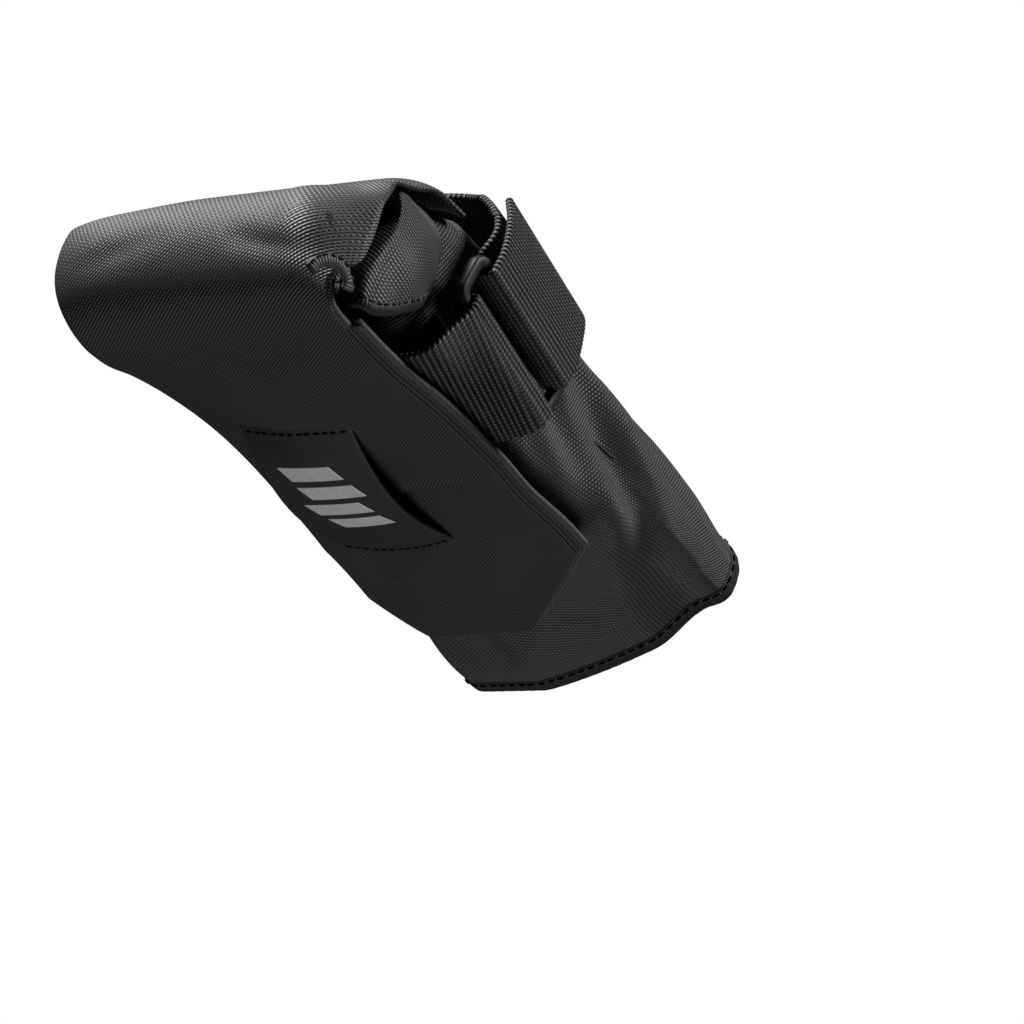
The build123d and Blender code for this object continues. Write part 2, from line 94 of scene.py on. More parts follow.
def grid_object(name, points, cloth, around=False, caps=False, pole=False, flip=False):
    """A piece from a grid of points in millimetres: each four neighbours make a face.
    cloth holds the flat cloth's own millimetres at each point, kept as the UV map "cloth".
    around joins the last column to the first, caps closes both end rows, pole the first row."""
    rows, cols = points.shape[:2]
    index = np.arange(rows * cols).reshape(rows, cols)
    loop_index = np.concatenate([index, index[:, :1]], 1) if around else index
    quads = np.stack([loop_index[:-1, :-1], loop_index[:-1, 1:], loop_index[1:, 1:],
                      loop_index[1:, :-1]], -1).reshape(-1, 4)
    uv = np.stack([cloth[:-1, :-1], cloth[:-1, 1:], cloth[1:, 1:], cloth[1:, :-1]], 2).reshape(-1, 2)
    if flip:
        quads = quads[:, ::-1]
        uv = uv.reshape(-1, 4, 2)[:, ::-1].reshape(-1, 2)
    faces = quads.tolist()
    verts = place(points).reshape(-1, 3)
    if caps:
        ends = [index[0].tolist(), index[-1][::-1].tolist()]
        faces += [end[::-1] for end in ends] if flip else ends
        uv = np.concatenate([uv] + [cloth[row, :cols][:: -1 if turn else 1]
                                    for row, turn in ((0, flip), (-1, not flip))])
    if pole:
        verts = np.concatenate([verts, verts[:cols].mean(0)[None]])
        fan = [[rows * cols, b, a] if not flip else [rows * cols, a, b]
               for a, b in zip(loop_index[0, :-1].tolist(), loop_index[0, 1:].tolist())]
        faces += fan
        uv = np.concatenate([uv, np.zeros((3 * len(fan), 2))])
    mesh = bpy.data.meshes.new(name)
    mesh.from_pydata(verts.tolist(), [], faces)
    mesh.shade_smooth()
    layer = mesh.uv_layers.new(name="cloth")
    layer.data.foreach_set("uv", (uv / 1000).astype(np.float32).ravel())
    piece = bpy.data.objects.new(name, mesh)
    bpy.context.scene.collection.objects.link(piece)
    return piece


def normals_of(points, around=False):
    """Unit normals of a grid: the cross product of its two running directions."""
    down = np.gradient(points, axis=0)
    if around:
        wide = (np.roll(points, -1, 1) - np.roll(points, 1, 1)) / 2
    else:
        wide = np.gradient(points, axis=1)
    return unit(np.cross(wide, down))


def crease(points, start, end, width, height):
    """Height of a ridge at each point: a bell of the distance from the line start-end, which fades
    towards both ends."""
    start, end = np.array(start, float), np.array(end, float)
    run = end - start
    t = np.clip(((points - start) @ run) / (run @ run), 0, 1)
    away = np.linalg.norm(points - start - t[..., None] * run, axis=-1)
    return height * np.exp(-(away / width) ** 2) * np.sin(np.pi * t)


def thicken(piece, mm, offset=-1.0):
    """Gives a sheet its thickness, which grows inwards from its outer face unless offset says."""
    solid = piece.modifiers.new("thickness", "SOLIDIFY")
    solid.thickness = mm / 1000
    solid.offset = offset
    solid.use_rim = True
    return piece


def body_low(a):
    """Height of the body's underside: level over the strap, then down past the flap's tip."""
    nose = FOLD_R - np.sqrt(np.maximum(13.0 ** 2 - np.minimum(a - FOLD_A, 0) ** 2, 0))
    level = 5.3 - 1.6 * ease(a, 70, 84) - 3.6 * ease(a, 118, 146) - 5.0 * ease(a, 140, 168)
    return np.where(a < FOLD_A, nose + 2.3, level)


def body_high(a):
    """Height of the body's top: up from the fold, level under the rails, down to the mouth."""
    slope = 26.8 + 0.7 * a
    crest = 43.8 + 1.4 * ease(a, 33, 37) - 2.8 * ease(a, 76, 98) - 7.6 * ease(a, 88, 188)
    return np.minimum(slope, crest) - 0.6 * np.exp(-((slope - crest) / 4) ** 2)


def floor_lift(a, b):
    """Rise of the body's lower side towards the near side, as the mouth comes closer."""
    return 9.0 * np.clip((b + 13) / 26, 0, 2) ** 1.25 * ease(a, 104, 174)


def near_half(a):
    return (HALF_W - 0.6 - 3.6 * np.exp(-((a + 7) / 5) ** 2) - 1.6 * np.exp(-((a - 48) / 20) ** 2)
            - 0.7 * np.exp(-((a - 98) / 22) ** 2) - 2.0 * ease(a, 148, 178)
            - 9.0 * np.exp(-((a - 12) / 12) ** 2))


def far_half(a):
    return (HALF_W - 0.6 - 3.6 * np.exp(-((a + 7) / 5) ** 2) - 1.6 * np.exp(-((a - 48) / 20) ** 2)
            + 0.5 * np.exp(-((a - 105) / 30) ** 2) - 1.2 * ease(a, 130, 176))


def section(a):
    """The body's outline across, one row for each a: four straight sides joined by quarter circles,
    whose radii change along the body. The lower near corner lifts towards the mouth."""
    low, high = body_low(a), body_high(a)
    near, far = near_half(a), -far_half(a)
    tall = (high - low) / 2 - 0.3
    r_nt = np.minimum(8.0 + 1.5 * ease(a, 130, 176), tall)
    r_ft = np.minimum(10.0, tall)
    r_nb = np.minimum(12.0 + 7.5 * ease(a, 112, 176), tall)
    r_fb = np.minimum(13.0 - 7.5 * ease(a, 118, 160), tall)
    quarter = np.linspace(0, np.pi / 2, 15)[None]

    def arc(centre_b, centre_c, r, start, sweep):
        angle = start + sweep * quarter
        return np.stack([centre_b[:, None] + r[:, None] * np.cos(angle),
                         centre_c[:, None] + r[:, None] * np.sin(angle)], -1)

    def side(p, q, count):
        t = np.linspace(0, 1, count + 2)[1:-1][None, :, None]
        return p[:, None] * (1 - t) + q[:, None] * t

    corners = [arc(near - r_nt, high - r_nt, r_nt, np.pi / 2, -1),
               arc(near - r_nb, low + r_nb, r_nb, 0, -1),
               arc(far + r_fb, low + r_fb, r_fb, -np.pi / 2, -1),
               arc(far + r_ft, high - r_ft, r_ft, np.pi, -1)]
    counts = [36, 46, 36, 46]
    pieces = []
    for i in range(4):
        pieces += [corners[i], side(corners[i][:, -1], corners[(i + 1) % 4][:, 0], counts[i])]
    outline = np.concatenate(pieces, 1)
    b, c = outline[..., 0], outline[..., 1]
    middle = (low + high)[:, None] / 2
    lower = ease(middle + 8 - c, 0, (middle + 8 - low[:, None]) * 1.02)
    b = b - 6.0 * (b > 15) * ease(b, 14, 34) * ease(middle + 12 - c, 0, 26) * ease(a, 112, 172)[:, None]
    c = c + floor_lift(a[:, None], b) * lower
    swell = np.clip(1 - np.abs(c - middle) / (high - low)[:, None] * 2, 0, 1)
    b = b + np.sign(b) * swell * 0.9 * (np.abs(b) > 30) * ease(a, 66, 90)[:, None]
    return np.stack([np.broadcast_to(a[:, None], b.shape), b, c], -1)


NEAR_FOLDS = [((66, 37, 36), (99, 38, 33), 4.0, 1.8), ((88, 38, 30), (156, 36, 9), 5.4, 2.8),
              ((70, 37, 24), (112, 38, 12), 4.0, 1.7), ((84, 38, 38), (156, 36, 19), 4.6, -2.4),
              ((66, 37, 16), (94, 38, 5), 3.4, 1.2), ((96, 38, 19), (150, 35, 1), 4.8, -1.7),
              ((112, 38, 33), (168, 34, 23), 4.2, 1.6), ((128, 37, 33), (172, 34, 14), 3.0, -0.9),
              ((78, 37, 43), (128, 36, 39), 3.2, 0.8), ((66, 38, 29), (88, 38, 26), 2.6, -1.6)]
FAR_FOLDS = [((70, -37, 34), (104, -38, 37), 3.6, 1.3), ((96, -38, 33), (150, -38, 14), 4.8, 1.8),
             ((72, -37, 20), (110, -38, 10), 3.6, 1.4), ((98, -38, 24), (142, -38, 5), 4.4, -1.3),
             ((118, -38, 34), (170, -37, 24), 4.2, 1.1), ((70, -38, 27), (88, -38, 26), 2.4, -1.1),
             ((24, -38, 20), (8, -38, 30), 3.6, 1.1), ((26, -38, 32), (12, -37, 36), 3.0, -0.8)]
TOP_FOLDS = [((84, 22, 44), (132, 10, 41), 5.0, 1.3), ((82, -8, 44), (138, -24, 40), 5.5, 1.4),
             ((100, -2, 43), (160, 4, 38), 5.0, -1.2), ((120, 26, 41), (166, 20, 37), 4.4, 0.9),
             ((84, 6, 44), (104, 4, 44), 3.4, -1.0), ((130, -30, 39), (170, -22, 36), 4.4, 0.8)]
BELLY_FOLDS = [((148, -24, -2), (174, -8, -4), 4.4, 1.0), ((150, 6, -1), (172, 14, 1), 4.0, -0.9)]


def body_grid(last, count):
    """Grid of the body's skin, with its folds pushed out along the normals."""
    turn = np.linspace(0, 1, 16)[:-1] ** 1.6
    a = np.concatenate([-6.5 + 12 * turn, np.linspace(5.5, last, count)])
    points = section(a)
    normals = normals_of(points, True)
    push = np.zeros(points.shape[:2])
    for folds in (NEAR_FOLDS, FAR_FOLDS, TOP_FOLDS, BELLY_FOLDS):
        for fold in folds:
            push += crease(points, *fold)
    slow = (np.sin(points[..., 0] * 0.11 + points[..., 2] * 0.23) * np.sin(points[..., 1] * 0.17 + 1)
            * np.sin(points[..., 2] * 0.13 + points[..., 0] * 0.05 + 2))
    push += 0.45 * slow * ease(points[..., 0], 64, 90)
    push *= 1 - 0.8 * ease(points[..., 0], 158, 174)
    under = ease(points[..., 0], 10, 14) * (1 - ease(points[..., 0], 136, 150)) * (points[..., 2] < 9)
    push *= 1 - 0.85 * under
    points = points + normals * push[..., None]
    round_length = np.concatenate([np.zeros((len(a), 1)), np.cumsum(np.linalg.norm(
        np.diff(np.concatenate([points, points[:, :1]], 1), axis=1), axis=2), 1)], 1)
    steady = round_length[len(a) // 2][None] * np.ones((len(a), 1))
    along = np.broadcast_to(a[:, None], steady.shape)
    return points, np.stack([along, steady], -1)


wrap_points, wrap_cloth = body_grid(BODY_L, 200)
wrap = grid_object("outer_wrap_cloth", wrap_points, wrap_cloth, around=True, pole=True)
thicken(wrap, WRAP_T)


class Signal:
    """A number that varies over a surface. Arithmetic on it adds Math nodes to its material."""

    def __init__(self, shade, socket):
        self.shade, self.socket = shade, socket

    def _join(self, operation, *others):
        node = self.shade.tree.nodes.new("ShaderNodeMath")
        node.operation = operation
        for slot, value in enumerate(others):
            if isinstance(value, Signal):
                self.shade.tree.links.new(value.socket, node.inputs[slot])
            else:
                node.inputs[slot].default_value = value
        return Signal(self.shade, node.outputs[0])

    def __add__(self, other):
        return self._join("ADD", self, other)

    def __sub__(self, other):
        return self._join("SUBTRACT", self, other)

    def __rsub__(self, other):
        return self._join("SUBTRACT", other, self)

    def __mul__(self, other):
        return self._join("MULTIPLY", self, other)

    def __pow__(self, other):
        return self._join("POWER", self, other)

    def apply(self, operation, *others):
        return self._join(operation, self, *others)

    def humps(self):
        """Rounded ribs side by side: the sine's size, with one rib for each pi of the signal."""
        return self.apply("SINE").apply("ABSOLUTE")

    __radd__, __rmul__ = __add__, __mul__


class Shade:
    """One material: a Principled shader whose sockets take constants or Signals."""

    def __init__(self, name, **constants):
        self.material = bpy.data.materials.new(name)
        self.material.use_nodes = True
        self.tree = self.material.node_tree
        self.shader = self.tree.nodes["Principled BSDF"]
        for socket, value in constants.items():
            self.shader.inputs[socket.replace("_", " ")].default_value = value

    def add(self, kind, settings=None, **inputs):
        """A node of a type, its settings first, then its sockets by name; gives the node."""
        node = self.tree.nodes.new(kind)
        for key, value in (settings or {}).items():
            setattr(node, key, value)
        for name, value in inputs.items():
            socket = node.inputs[int(name[1:]) if name[0] == "_" else name.replace("_", " ")]
            if isinstance(value, Signal):
                self.tree.links.new(value.socket, socket)
            elif isinstance(value, bpy.types.NodeSocket):
                self.tree.links.new(value, socket)
            else:
                socket.default_value = value
        return node

    def cloth_axes(self, turn=0.0):
        """Millimetres along and across the flat cloth, turned by an angle in degrees."""
        uv = self.add("ShaderNodeUVMap", {"uv_map": "cloth"})
        parts = self.add("ShaderNodeSeparateXYZ", None, Vector=uv.outputs[0])
        x, y = Signal(self, parts.outputs[0]) * 1000.0, Signal(self, parts.outputs[1]) * 1000.0
        c, s = math.cos(math.radians(turn)), math.sin(math.radians(turn))
        return x * c + y * s, y * c - x * s

    def noise(self, scale, detail=2.0, rough=0.5):
        """Soft noise on the piece's own place, scale in cells per metre."""
        where = self.add("ShaderNodeTexCoord")
        node = self.add("ShaderNodeTexNoise", None, Vector=where.outputs["Object"], Scale=scale,
                        Detail=detail, Roughness=rough)
        return Signal(self, node.outputs[0])

    def mix(self, share, first, second):
        node = self.add("ShaderNodeMix", {"data_type": "RGBA"}, _0=share, _6=first, _7=second)
        return node.outputs[2]

    def finish(self, color=None, rough=None, height=None, depth=0.0002):
        """Links colour, roughness and a bump depth metres deep; gives the finished material."""
        if color is not None:
            self.tree.links.new(color, self.shader.inputs["Base Color"])
        if rough is not None:
            self.tree.links.new(rough.socket, self.shader.inputs["Roughness"])
        if height is not None:
            bump = self.add("ShaderNodeBump", None, Height=height, Strength=1.0, Distance=depth)
            self.tree.links.new(bump.outputs[0], self.shader.inputs["Normal"])
        return self.material


def grey(value, blue=1.0):
    """A dark neutral colour, cooler where blue is above 1."""
    return (value, value, value * blue, 1.0)


def woven(name, turn, dark, light, rib=0.70, thread=0.92, depth=0.0002, rough=0.46, swap=None):
    """Ribbed weave: rounded ribs side by side, each crossed by threads that step by half in
    every other rib. One thread stands proud of the other: ribs here, and beyond the place swap
    (millimetres along the cloth) the crossing threads. Gaps are dark; wear lightens patches."""
    shade = Shade(name, Specular_IOR_Level=0.4)
    x, y = shade.cloth_axes(turn)
    wander = shade.noise(60.0, 3.0)
    x = x + wander * 0.4
    rank = x * (1 / rib)
    ridge = (rank * math.pi).humps()
    odd = rank.apply("FLOOR").apply("MODULO", 2.0)
    cross = ((y * (1 / thread) + odd * 0.5) * math.pi).humps()
    height = ridge * (cross * 0.5 + 0.5)
    if swap is not None:
        along, _ = shade.cloth_axes()
        share = ((along * -1.0 + swap) * 0.04).apply("MAXIMUM", 0.0).apply("MINIMUM", 1.0)
        bold = ((y * (1 / thread)) * math.pi).humps() * (ridge * 0.4 + 0.6)
        height = height * (1 - share) + bold * share
    fine = shade.noise(5200.0, 2.0)
    patch = shade.noise(28.0, 3.0)
    tone = (height * 0.8 + fine * 0.2 + patch * 0.26 - 0.17).apply("MAXIMUM", 0.0).apply("MINIMUM", 1.0)
    color = shade.mix(tone * tone * 0.5 + tone * 0.5, dark, light)
    return shade.finish(color, (1 - height) * 0.22 + rough - 0.06 + patch * 0.06, height + fine * 0.15,
                        depth)


shell_cloth = woven("shell_weave", 25.0, grey(0.003, 1.1), grey(0.075, 1.06), 0.92, 1.06, 0.0003)
wrap.data.materials.append(shell_cloth)
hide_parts("outer_wrap")
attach(wrap, "wrap")

# ------------------------------------------------------------------ lining
# A smooth, finely woven nylon liner, just inside the wrap and sewn to it at the mouth. It is a
# little slack, so it ripples.
LINING_DEPTH = 2.0
lining_points, lining_cloth = wrap_points[::2], wrap_cloth[::2]
ripple = np.sin(lining_points[..., 0] * 0.42 + lining_points[..., 1] * 0.3) * 0.2
lining_points = lining_points + normals_of(lining_points, True) * (LINING_DEPTH + ripple)[..., None]
lining = grid_object("lining_cloth", lining_points, lining_cloth, around=True, pole=True)
thicken(lining, 0.5)
shade = Shade("lining_weave", Specular_IOR_Level=0.35)
x, y = shade.cloth_axes()
weft = (x * (math.pi / 0.4)).humps()
warp = (y * (math.pi / 0.4)).humps()
dull = shade.noise(40.0, 3.0)
lining.data.materials.append(shade.finish(
    shade.mix(weft * 0.5 + warp * 0.3 + dull * 0.2, grey(0.012), grey(0.06, 1.05)),
    dull * 0.15 + 0.5, weft + warp, 0.00008))
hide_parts("lining")
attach(lining, "wrap")

# ------------------------------------------------------------------ pockets and divider inside
# Three narrow sleeves of stretch mesh on the bag's floor, each with an elastic hem at its mouth,
# and a stretch divider above them, sewn to the lining along both sides.
shade = Shade("stretch_mesh", Roughness=0.75, Specular_IOR_Level=0.25)
x, y = shade.cloth_axes(45.0)
holes = ((x * (math.pi / 1.1)).apply("SINE") * (y * (math.pi / 1.1)).apply("SINE")).apply("ABSOLUTE")
stretch_mesh = shade.finish(shade.mix(holes ** 0.6, grey(0.004), grey(0.045)), None, holes, 0.0003)


def pad_grid(node, crown, count=(48, 22)):
    """A slack sleeve on its CAD place: a low vault, crown times (1 - u^4)(1 - v^2)."""
    low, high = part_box(node)
    u, v = np.meshgrid(np.linspace(-1, 1, count[0]), np.linspace(-1, 1, count[1]), indexing="ij")
    a = ((low.x + high.x) / 2 - datum_x) * 1000 + u * (high.x - low.x) * 500
    b = -(low.y + high.y) * 500 + v * (high.y - low.y) * 500
    base = (low.z - face_z) * 1000
    c = base + 0.4 + crown * (1 - u ** 4) * (1 - v ** 2) * (1 + 0.12 * np.sin(u * 9 + v * 3))
    c = c + floor_lift(a, b) * np.clip((24 - base) / 20, 0, 1)
    return np.stack([a, b, c], -1), np.stack([a, b], -1)


for node, crown in (("pocket_lever", 1.6), ("pocket_inflator", 2.4), ("pocket_patches", 1.3)):
    points, cloth = pad_grid(node, crown)
    sleeve = grid_object(node + "_sleeve", points, cloth, flip=True)
    thicken(sleeve, 0.4)
    sleeve.data.materials.append(stretch_mesh)
    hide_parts(node)
    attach(sleeve, "wrap")

points, cloth = pad_grid("mesh_divider", -2.2, (60, 40))
points[..., 2] += 0.5 + 0.25 * np.sin(points[..., 0] * 0.3)
divider = grid_object("divider_mesh", points, cloth, flip=True)
thicken(divider, 0.5)
divider.data.materials.append(stretch_mesh)
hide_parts("mesh_divider")
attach(divider, "wrap")

# ------------------------------------------------------------------ binding tape
# Grosgrain tape, ribbed across, folded over every raw edge and held by one row of dark stitches.
# Here it binds the front mouth; later sections bind the flap and the wings with it.


def grosgrain(name, light):
    """Tape with fine ribs across it; light is the colour of the ribs' crowns."""
    shade = Shade(name, Specular_IOR_Level=0.35)
    x, y = shade.cloth_axes()
    rib = (x * (math.pi / 0.62)).humps()
    fine = shade.noise(4200.0)
    patch = shade.noise(45.0, 3.0)
    tone = (rib * 0.6 + fine * 0.25 + patch * 0.35 - 0.15).apply("MAXIMUM", 0.0)
    return shade.finish(shade.mix(tone, grey(0.005), grey(light, 1.05)), (1 - rib) * 0.2 + 0.5,
                        rib + fine * 0.2, 0.00014)


tape_cloth = grosgrain("binding_grosgrain", 0.016)
edge_cloth = grosgrain("edge_grosgrain", 0.060)


def tape_piece(name, path, inward, outward, width, thick, closed=False, finish=None):
    """Folded tape along an edge: a U-shaped profile, width deep and thick across, carried along
    the path; inward points into the cloth and outward away from its visible face."""
    if closed:
        step = np.roll(path, -1, 0) - path
    else:
        step = np.diff(path, axis=0, append=path[-1:])
    distance = np.concatenate([[0], np.cumsum(np.linalg.norm(step, axis=1))])[:len(path) + closed]
    half = thick / 2
    profile = np.array([(width, half * 0.7), (width * 0.55, half * 0.98), (0.5, half), (-0.15, half * 0.8),
                        (-0.5, half * 0.35), (-0.55, 0), (-0.5, -half * 0.35), (-0.15, -half * 0.8),
                        (0.5, -half), (width * 0.55, -half * 0.98), (width, -half * 0.7)])
    pucker = 1 + 0.05 * np.sin(distance[:len(path)] * 2 * np.pi / 3.1)
    points = (path[:, None] + inward[:, None] * profile[None, :, :1]
              + outward[:, None] * (profile[None, :, 1:] * pucker[:, None, None]))
    reach = np.concatenate([[0], np.cumsum(np.linalg.norm(np.diff(profile, axis=0), axis=1)),
                            [2 * width + 2 * thick]])
    rows = np.concatenate([points, points[:1]]) if closed else points
    cloth = np.stack(np.broadcast_arrays(distance[:, None], reach[None]), -1)
    piece = grid_object(name, rows, cloth, around=True, caps=not closed)
    if closed:
        merge(piece)
    outwards(piece)
    piece.data.materials.append(finish or tape_cloth)
    return piece


def merge(piece):
    """Joins vertices that lie on each other, where a closed run meets its start."""
    work = bmesh.new()
    work.from_mesh(piece.data)
    bmesh.ops.remove_doubles(work, verts=work.verts, dist=1e-6)
    work.to_mesh(piece.data)
    work.free()


def outwards(piece):
    """Turns the faces of a closed shape so that they point outwards."""
    work = bmesh.new()
    work.from_mesh(piece.data)
    bmesh.ops.recalc_face_normals(work, faces=work.faces)
    work.to_mesh(piece.data)
    work.free()


thread = Shade("dark_thread", Roughness=0.95, Specular_IOR_Level=0.08)
twist = thread.noise(3000.0)
thread_finish = thread.finish(thread.mix(twist, grey(0.001), grey(0.005)), None, twist, 0.0001)


def stitches(name, path, outward, body, pitch=2.9, length=2.25, across=0.72):
    """A row of sewn stitches along a path: each is a small spindle, length long and across thick,
    half sunk in the cloth and lying along the path, one every pitch."""
    distance = run_along(path)
    middle = np.arange(pitch / 2, distance[-1] - pitch / 2, pitch)
    middle = middle + 0.18 * np.sin(np.arange(len(middle)) * 2.4)
    at = np.stack([np.interp(middle, distance, path[:, k]) for k in range(3)], -1)
    ahead = np.stack([np.interp(middle + 0.3, distance, path[:, k]) for k in range(3)], -1) - at
    up = unit(np.stack([np.interp(middle, distance, outward[:, k]) for k in range(3)], -1))
    ahead = unit(ahead)
    side = unit(np.cross(ahead, up))
    t = np.linspace(-1, 1, 6)
    angle = np.linspace(0, 2 * np.pi, 6, endpoint=False)
    swell = np.sqrt(np.maximum(1 - np.abs(t) ** 2.6, 0.02))
    ring = np.stack(np.broadcast_arrays(t[:, None] * length / 2, swell[:, None] * np.cos(angle) * across / 2,
                                        swell[:, None] * np.sin(angle) * across / 2), -1).reshape(-1, 3)
    points = (at[:, None] + ahead[:, None] * ring[None, :, :1] + side[:, None] * ring[None, :, 1:2]
              + up[:, None] * ring[None, :, 2:])
    block = np.arange(36).reshape(6, 6)
    turned = np.roll(block, -1, 1)
    quads = np.stack([block[:-1], turned[:-1], turned[1:], block[1:]], -1).reshape(-1, 4)
    shift = (np.arange(len(middle)) * 36)[:, None, None]
    faces = (quads[None] + shift).reshape(-1, 4).tolist()
    ends = np.stack([block[0][::-1], block[-1]])
    faces += (ends[None] + shift).reshape(-1, 6).tolist()
    mesh = bpy.data.meshes.new(name)
    mesh.from_pydata(place(points).reshape(-1, 3).tolist(), [], faces)
    mesh.shade_smooth()
    piece = bpy.data.objects.new(name, mesh)
    bpy.context.scene.collection.objects.link(piece)
    outwards(piece)
    piece.data.materials.append(thread_finish)
    if body:
        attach(piece, body)
    return piece


MOUTH_TAPE_DEEP = 4.8
rim = wrap_points[-1]
behind = np.argmin(np.abs(wrap_points[:, 0, 0] - wrap_points[-1, 0, 0] + MOUTH_TAPE_DEEP))
rim_inward = unit(wrap_points[behind] - rim)
rim_outward = -normals_of(wrap_points, True)[-2]
rim_outward = unit(rim_outward * np.array([0.0, 1.0, 1.0]))
rim_path = rim - rim_outward * 0.60 + np.array([0.3, 0, 0])
mouth_tape = tape_piece("mouth_binding", rim_path, rim_inward, rim_outward, MOUTH_TAPE_DEEP, 2.1,
                        closed=True)
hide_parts("front_binding")
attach(mouth_tape, "wrap")
seam_path = np.concatenate([rim_path, rim_path[:1]])
seam_path = seam_path + np.concatenate([rim_inward, rim_inward[:1]]) * 3.7
seam_out = np.concatenate([rim_outward, rim_outward[:1]])
stitches("mouth_stitches", seam_path + seam_out * 0.98, seam_out, "wrap")

for order, node in enumerate(("pocket_lever", "pocket_inflator", "pocket_patches")):
    low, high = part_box(node)
    v = np.linspace(-1, 1, 60)
    b = -(low.y + high.y) * 500 + v * (high.y - low.y) * 495
    path = np.stack([np.full_like(b, (high.x - datum_x) * 1000 + 2.6), b,
                     (low.z - face_z) * 1000 + 1.3 + 0.9 * (1 - v ** 2) + 0.1 * np.sin(b * 4.2)
                     + floor_lift((high.x - datum_x) * 1000, b)], -1)
    inward = np.tile([1.0, 0, 0], (60, 1))
    outward = np.tile([0, 0, 1.0], (60, 1))
    hem = tape_piece(node + "_elastic", path - inward * 2.6, inward, outward, 5.2, 0.9)
    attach(hem, "wrap")
    if order == 0:
        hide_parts("pocket_elastics")

# ------------------------------------------------------------------ rear panel and flap
# One strip of the same ribbed cloth: sewn across the top behind the rails, it comes down the rear,
# turns round the rear end and runs forward under the body as the flap. Its far edge curls up.
FLAP_L = (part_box("flap_panel")[1].x - datum_x) * 1000 - FOLD_A
FLAP_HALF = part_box("flap_panel")[1].y * 1000
TIP_NEAR, TIP_FAR = 2.0, -28.0
NEAR_SLANT, FAR_SLANT = 34.5, 18.0
REAR_TURN = math.radians(145)
REAR_RUN = 24.0
CREST_R = 12.0
CREST_TURN = math.radians(35)
REAR_TOP = FOLD_R * REAR_TURN + REAR_RUN + CREST_R * CREST_TURN + 8.0


def strip_profile(s):
    """Side line of the strip at distance s from the fold's lowest point: level for s above 0; below
    0 a circle of the fold's radius, a straight climb, and a bend onto the crest. Found by adding up
    small steps whose heading turns at 1 / radius."""
    t = np.arange(0, REAR_TOP + 1, 0.25)
    circle = FOLD_R * REAR_TURN
    heading = np.pi - np.minimum(t, circle) / FOLD_R
    heading = heading - np.clip(t - circle - REAR_RUN, 0, CREST_R * CREST_TURN) / CREST_R
    a = FOLD_A + np.concatenate([[0], np.cumsum(np.cos(heading[:-1])) * 0.25])
    c = np.concatenate([[0], np.cumsum(np.sin(heading[:-1])) * 0.25])
    back = np.clip(-s, 0, REAR_TOP)
    return (np.where(s > 0, FOLD_A + s, np.interp(back, t, a)), np.interp(back, t, c))


def near_edge(s):
    """Near edge of the strip: straight with a slight wave, slanted at the tip, wider up the rear."""
    a = FOLD_A + s
    wave = 34.9 - 1.0 * np.exp(-((a - 30) / 14) ** 2) - 1.9 * ease(a, 66, 88)
    slant = TIP_NEAR + (FLAP_L - s) / NEAR_SLANT * (FLAP_HALF - TIP_NEAR)
    rear = 3.6 * ease(-s, 13, 22)
    return np.where(s > 0, np.minimum(wave, slant), 34.9 + rear)


def far_edge(s):
    """Far edge of the strip: drawn in along the middle, slanted at the tip."""
    slant = TIP_FAR - (FLAP_L - s) / FAR_SLANT * (FLAP_HALF + TIP_FAR)
    waist = 2.2 * np.sin(np.pi * np.clip(s / 98, 0, 1)) ** 1.15
    return np.where(s > 0, np.maximum(-FLAP_HALF + waist, slant), -35.0 - 2.6 * ease(-s, 3, 22))


def flap_height(a, b):
    """How far the flap stands above its flat face: its far edge curls up along the middle of its
    length, and its tip sags."""
    curl = 4.6 * np.sin(np.pi * np.clip((a - 6) / 98, 0, 1)) ** 1.15
    return (curl * np.clip((-b - 6) / 27, 0, 1.1) ** 1.35 - 4.2 * ease(a, 96, 146)
            - 0.5 * np.exp(-((a - 22) / 12) ** 2) * np.cos(b / 24)
            + 0.35 * np.sin(a * 0.09 + 1) * np.cos(b * 0.08))


def strip_grid(s, near, far, columns):
    """Grid of the strip between its two edges. Up the rear its sides turn forward round the corners
    into the wings."""
    v = np.linspace(0, 1, columns)
    b = far[:, None] + (near - far)[:, None] * v[None]
    a, c = strip_profile(s)
    a = np.broadcast_to(a[:, None], b.shape).copy()
    c = np.broadcast_to(c[:, None], b.shape).copy()
    c = c + np.where(s[:, None] > 0, flap_height(a, b) * ease(s, 0, 14)[:, None], 0)
    rise = np.clip((c - 1) / 34.5, 0, 1)
    turned = np.sin(np.pi * rise) ** 0.9 * (s[:, None] < 0)
    near_turn = np.clip((b - 24) / 14.5, 0, 1.2) ** 2
    far_turn = np.clip((-b - 26) / 11.5, 0, 1.2) ** 2
    a = a + turned * (12.4 * near_turn + 2.0 * far_turn)
    drop = ease(-s, REAR_TOP - 34, REAR_TOP - 14)[:, None]
    c = c - drop * (3.4 * np.clip((np.abs(b) - 26) / 12, 0, 1.2) ** 2)
    shoulder = ease(-s, 30, 48)[:, None] * np.clip((-b - 4) / 33, 0, 1.1) ** 1.8
    c = c - 6.5 * shoulder * (1 - 0.5 * ease(-s, REAR_TOP - 22, REAR_TOP - 6)[:, None])
    return np.stack([a, b, c], -1), np.stack([np.broadcast_to(s[:, None], b.shape), b], -1)


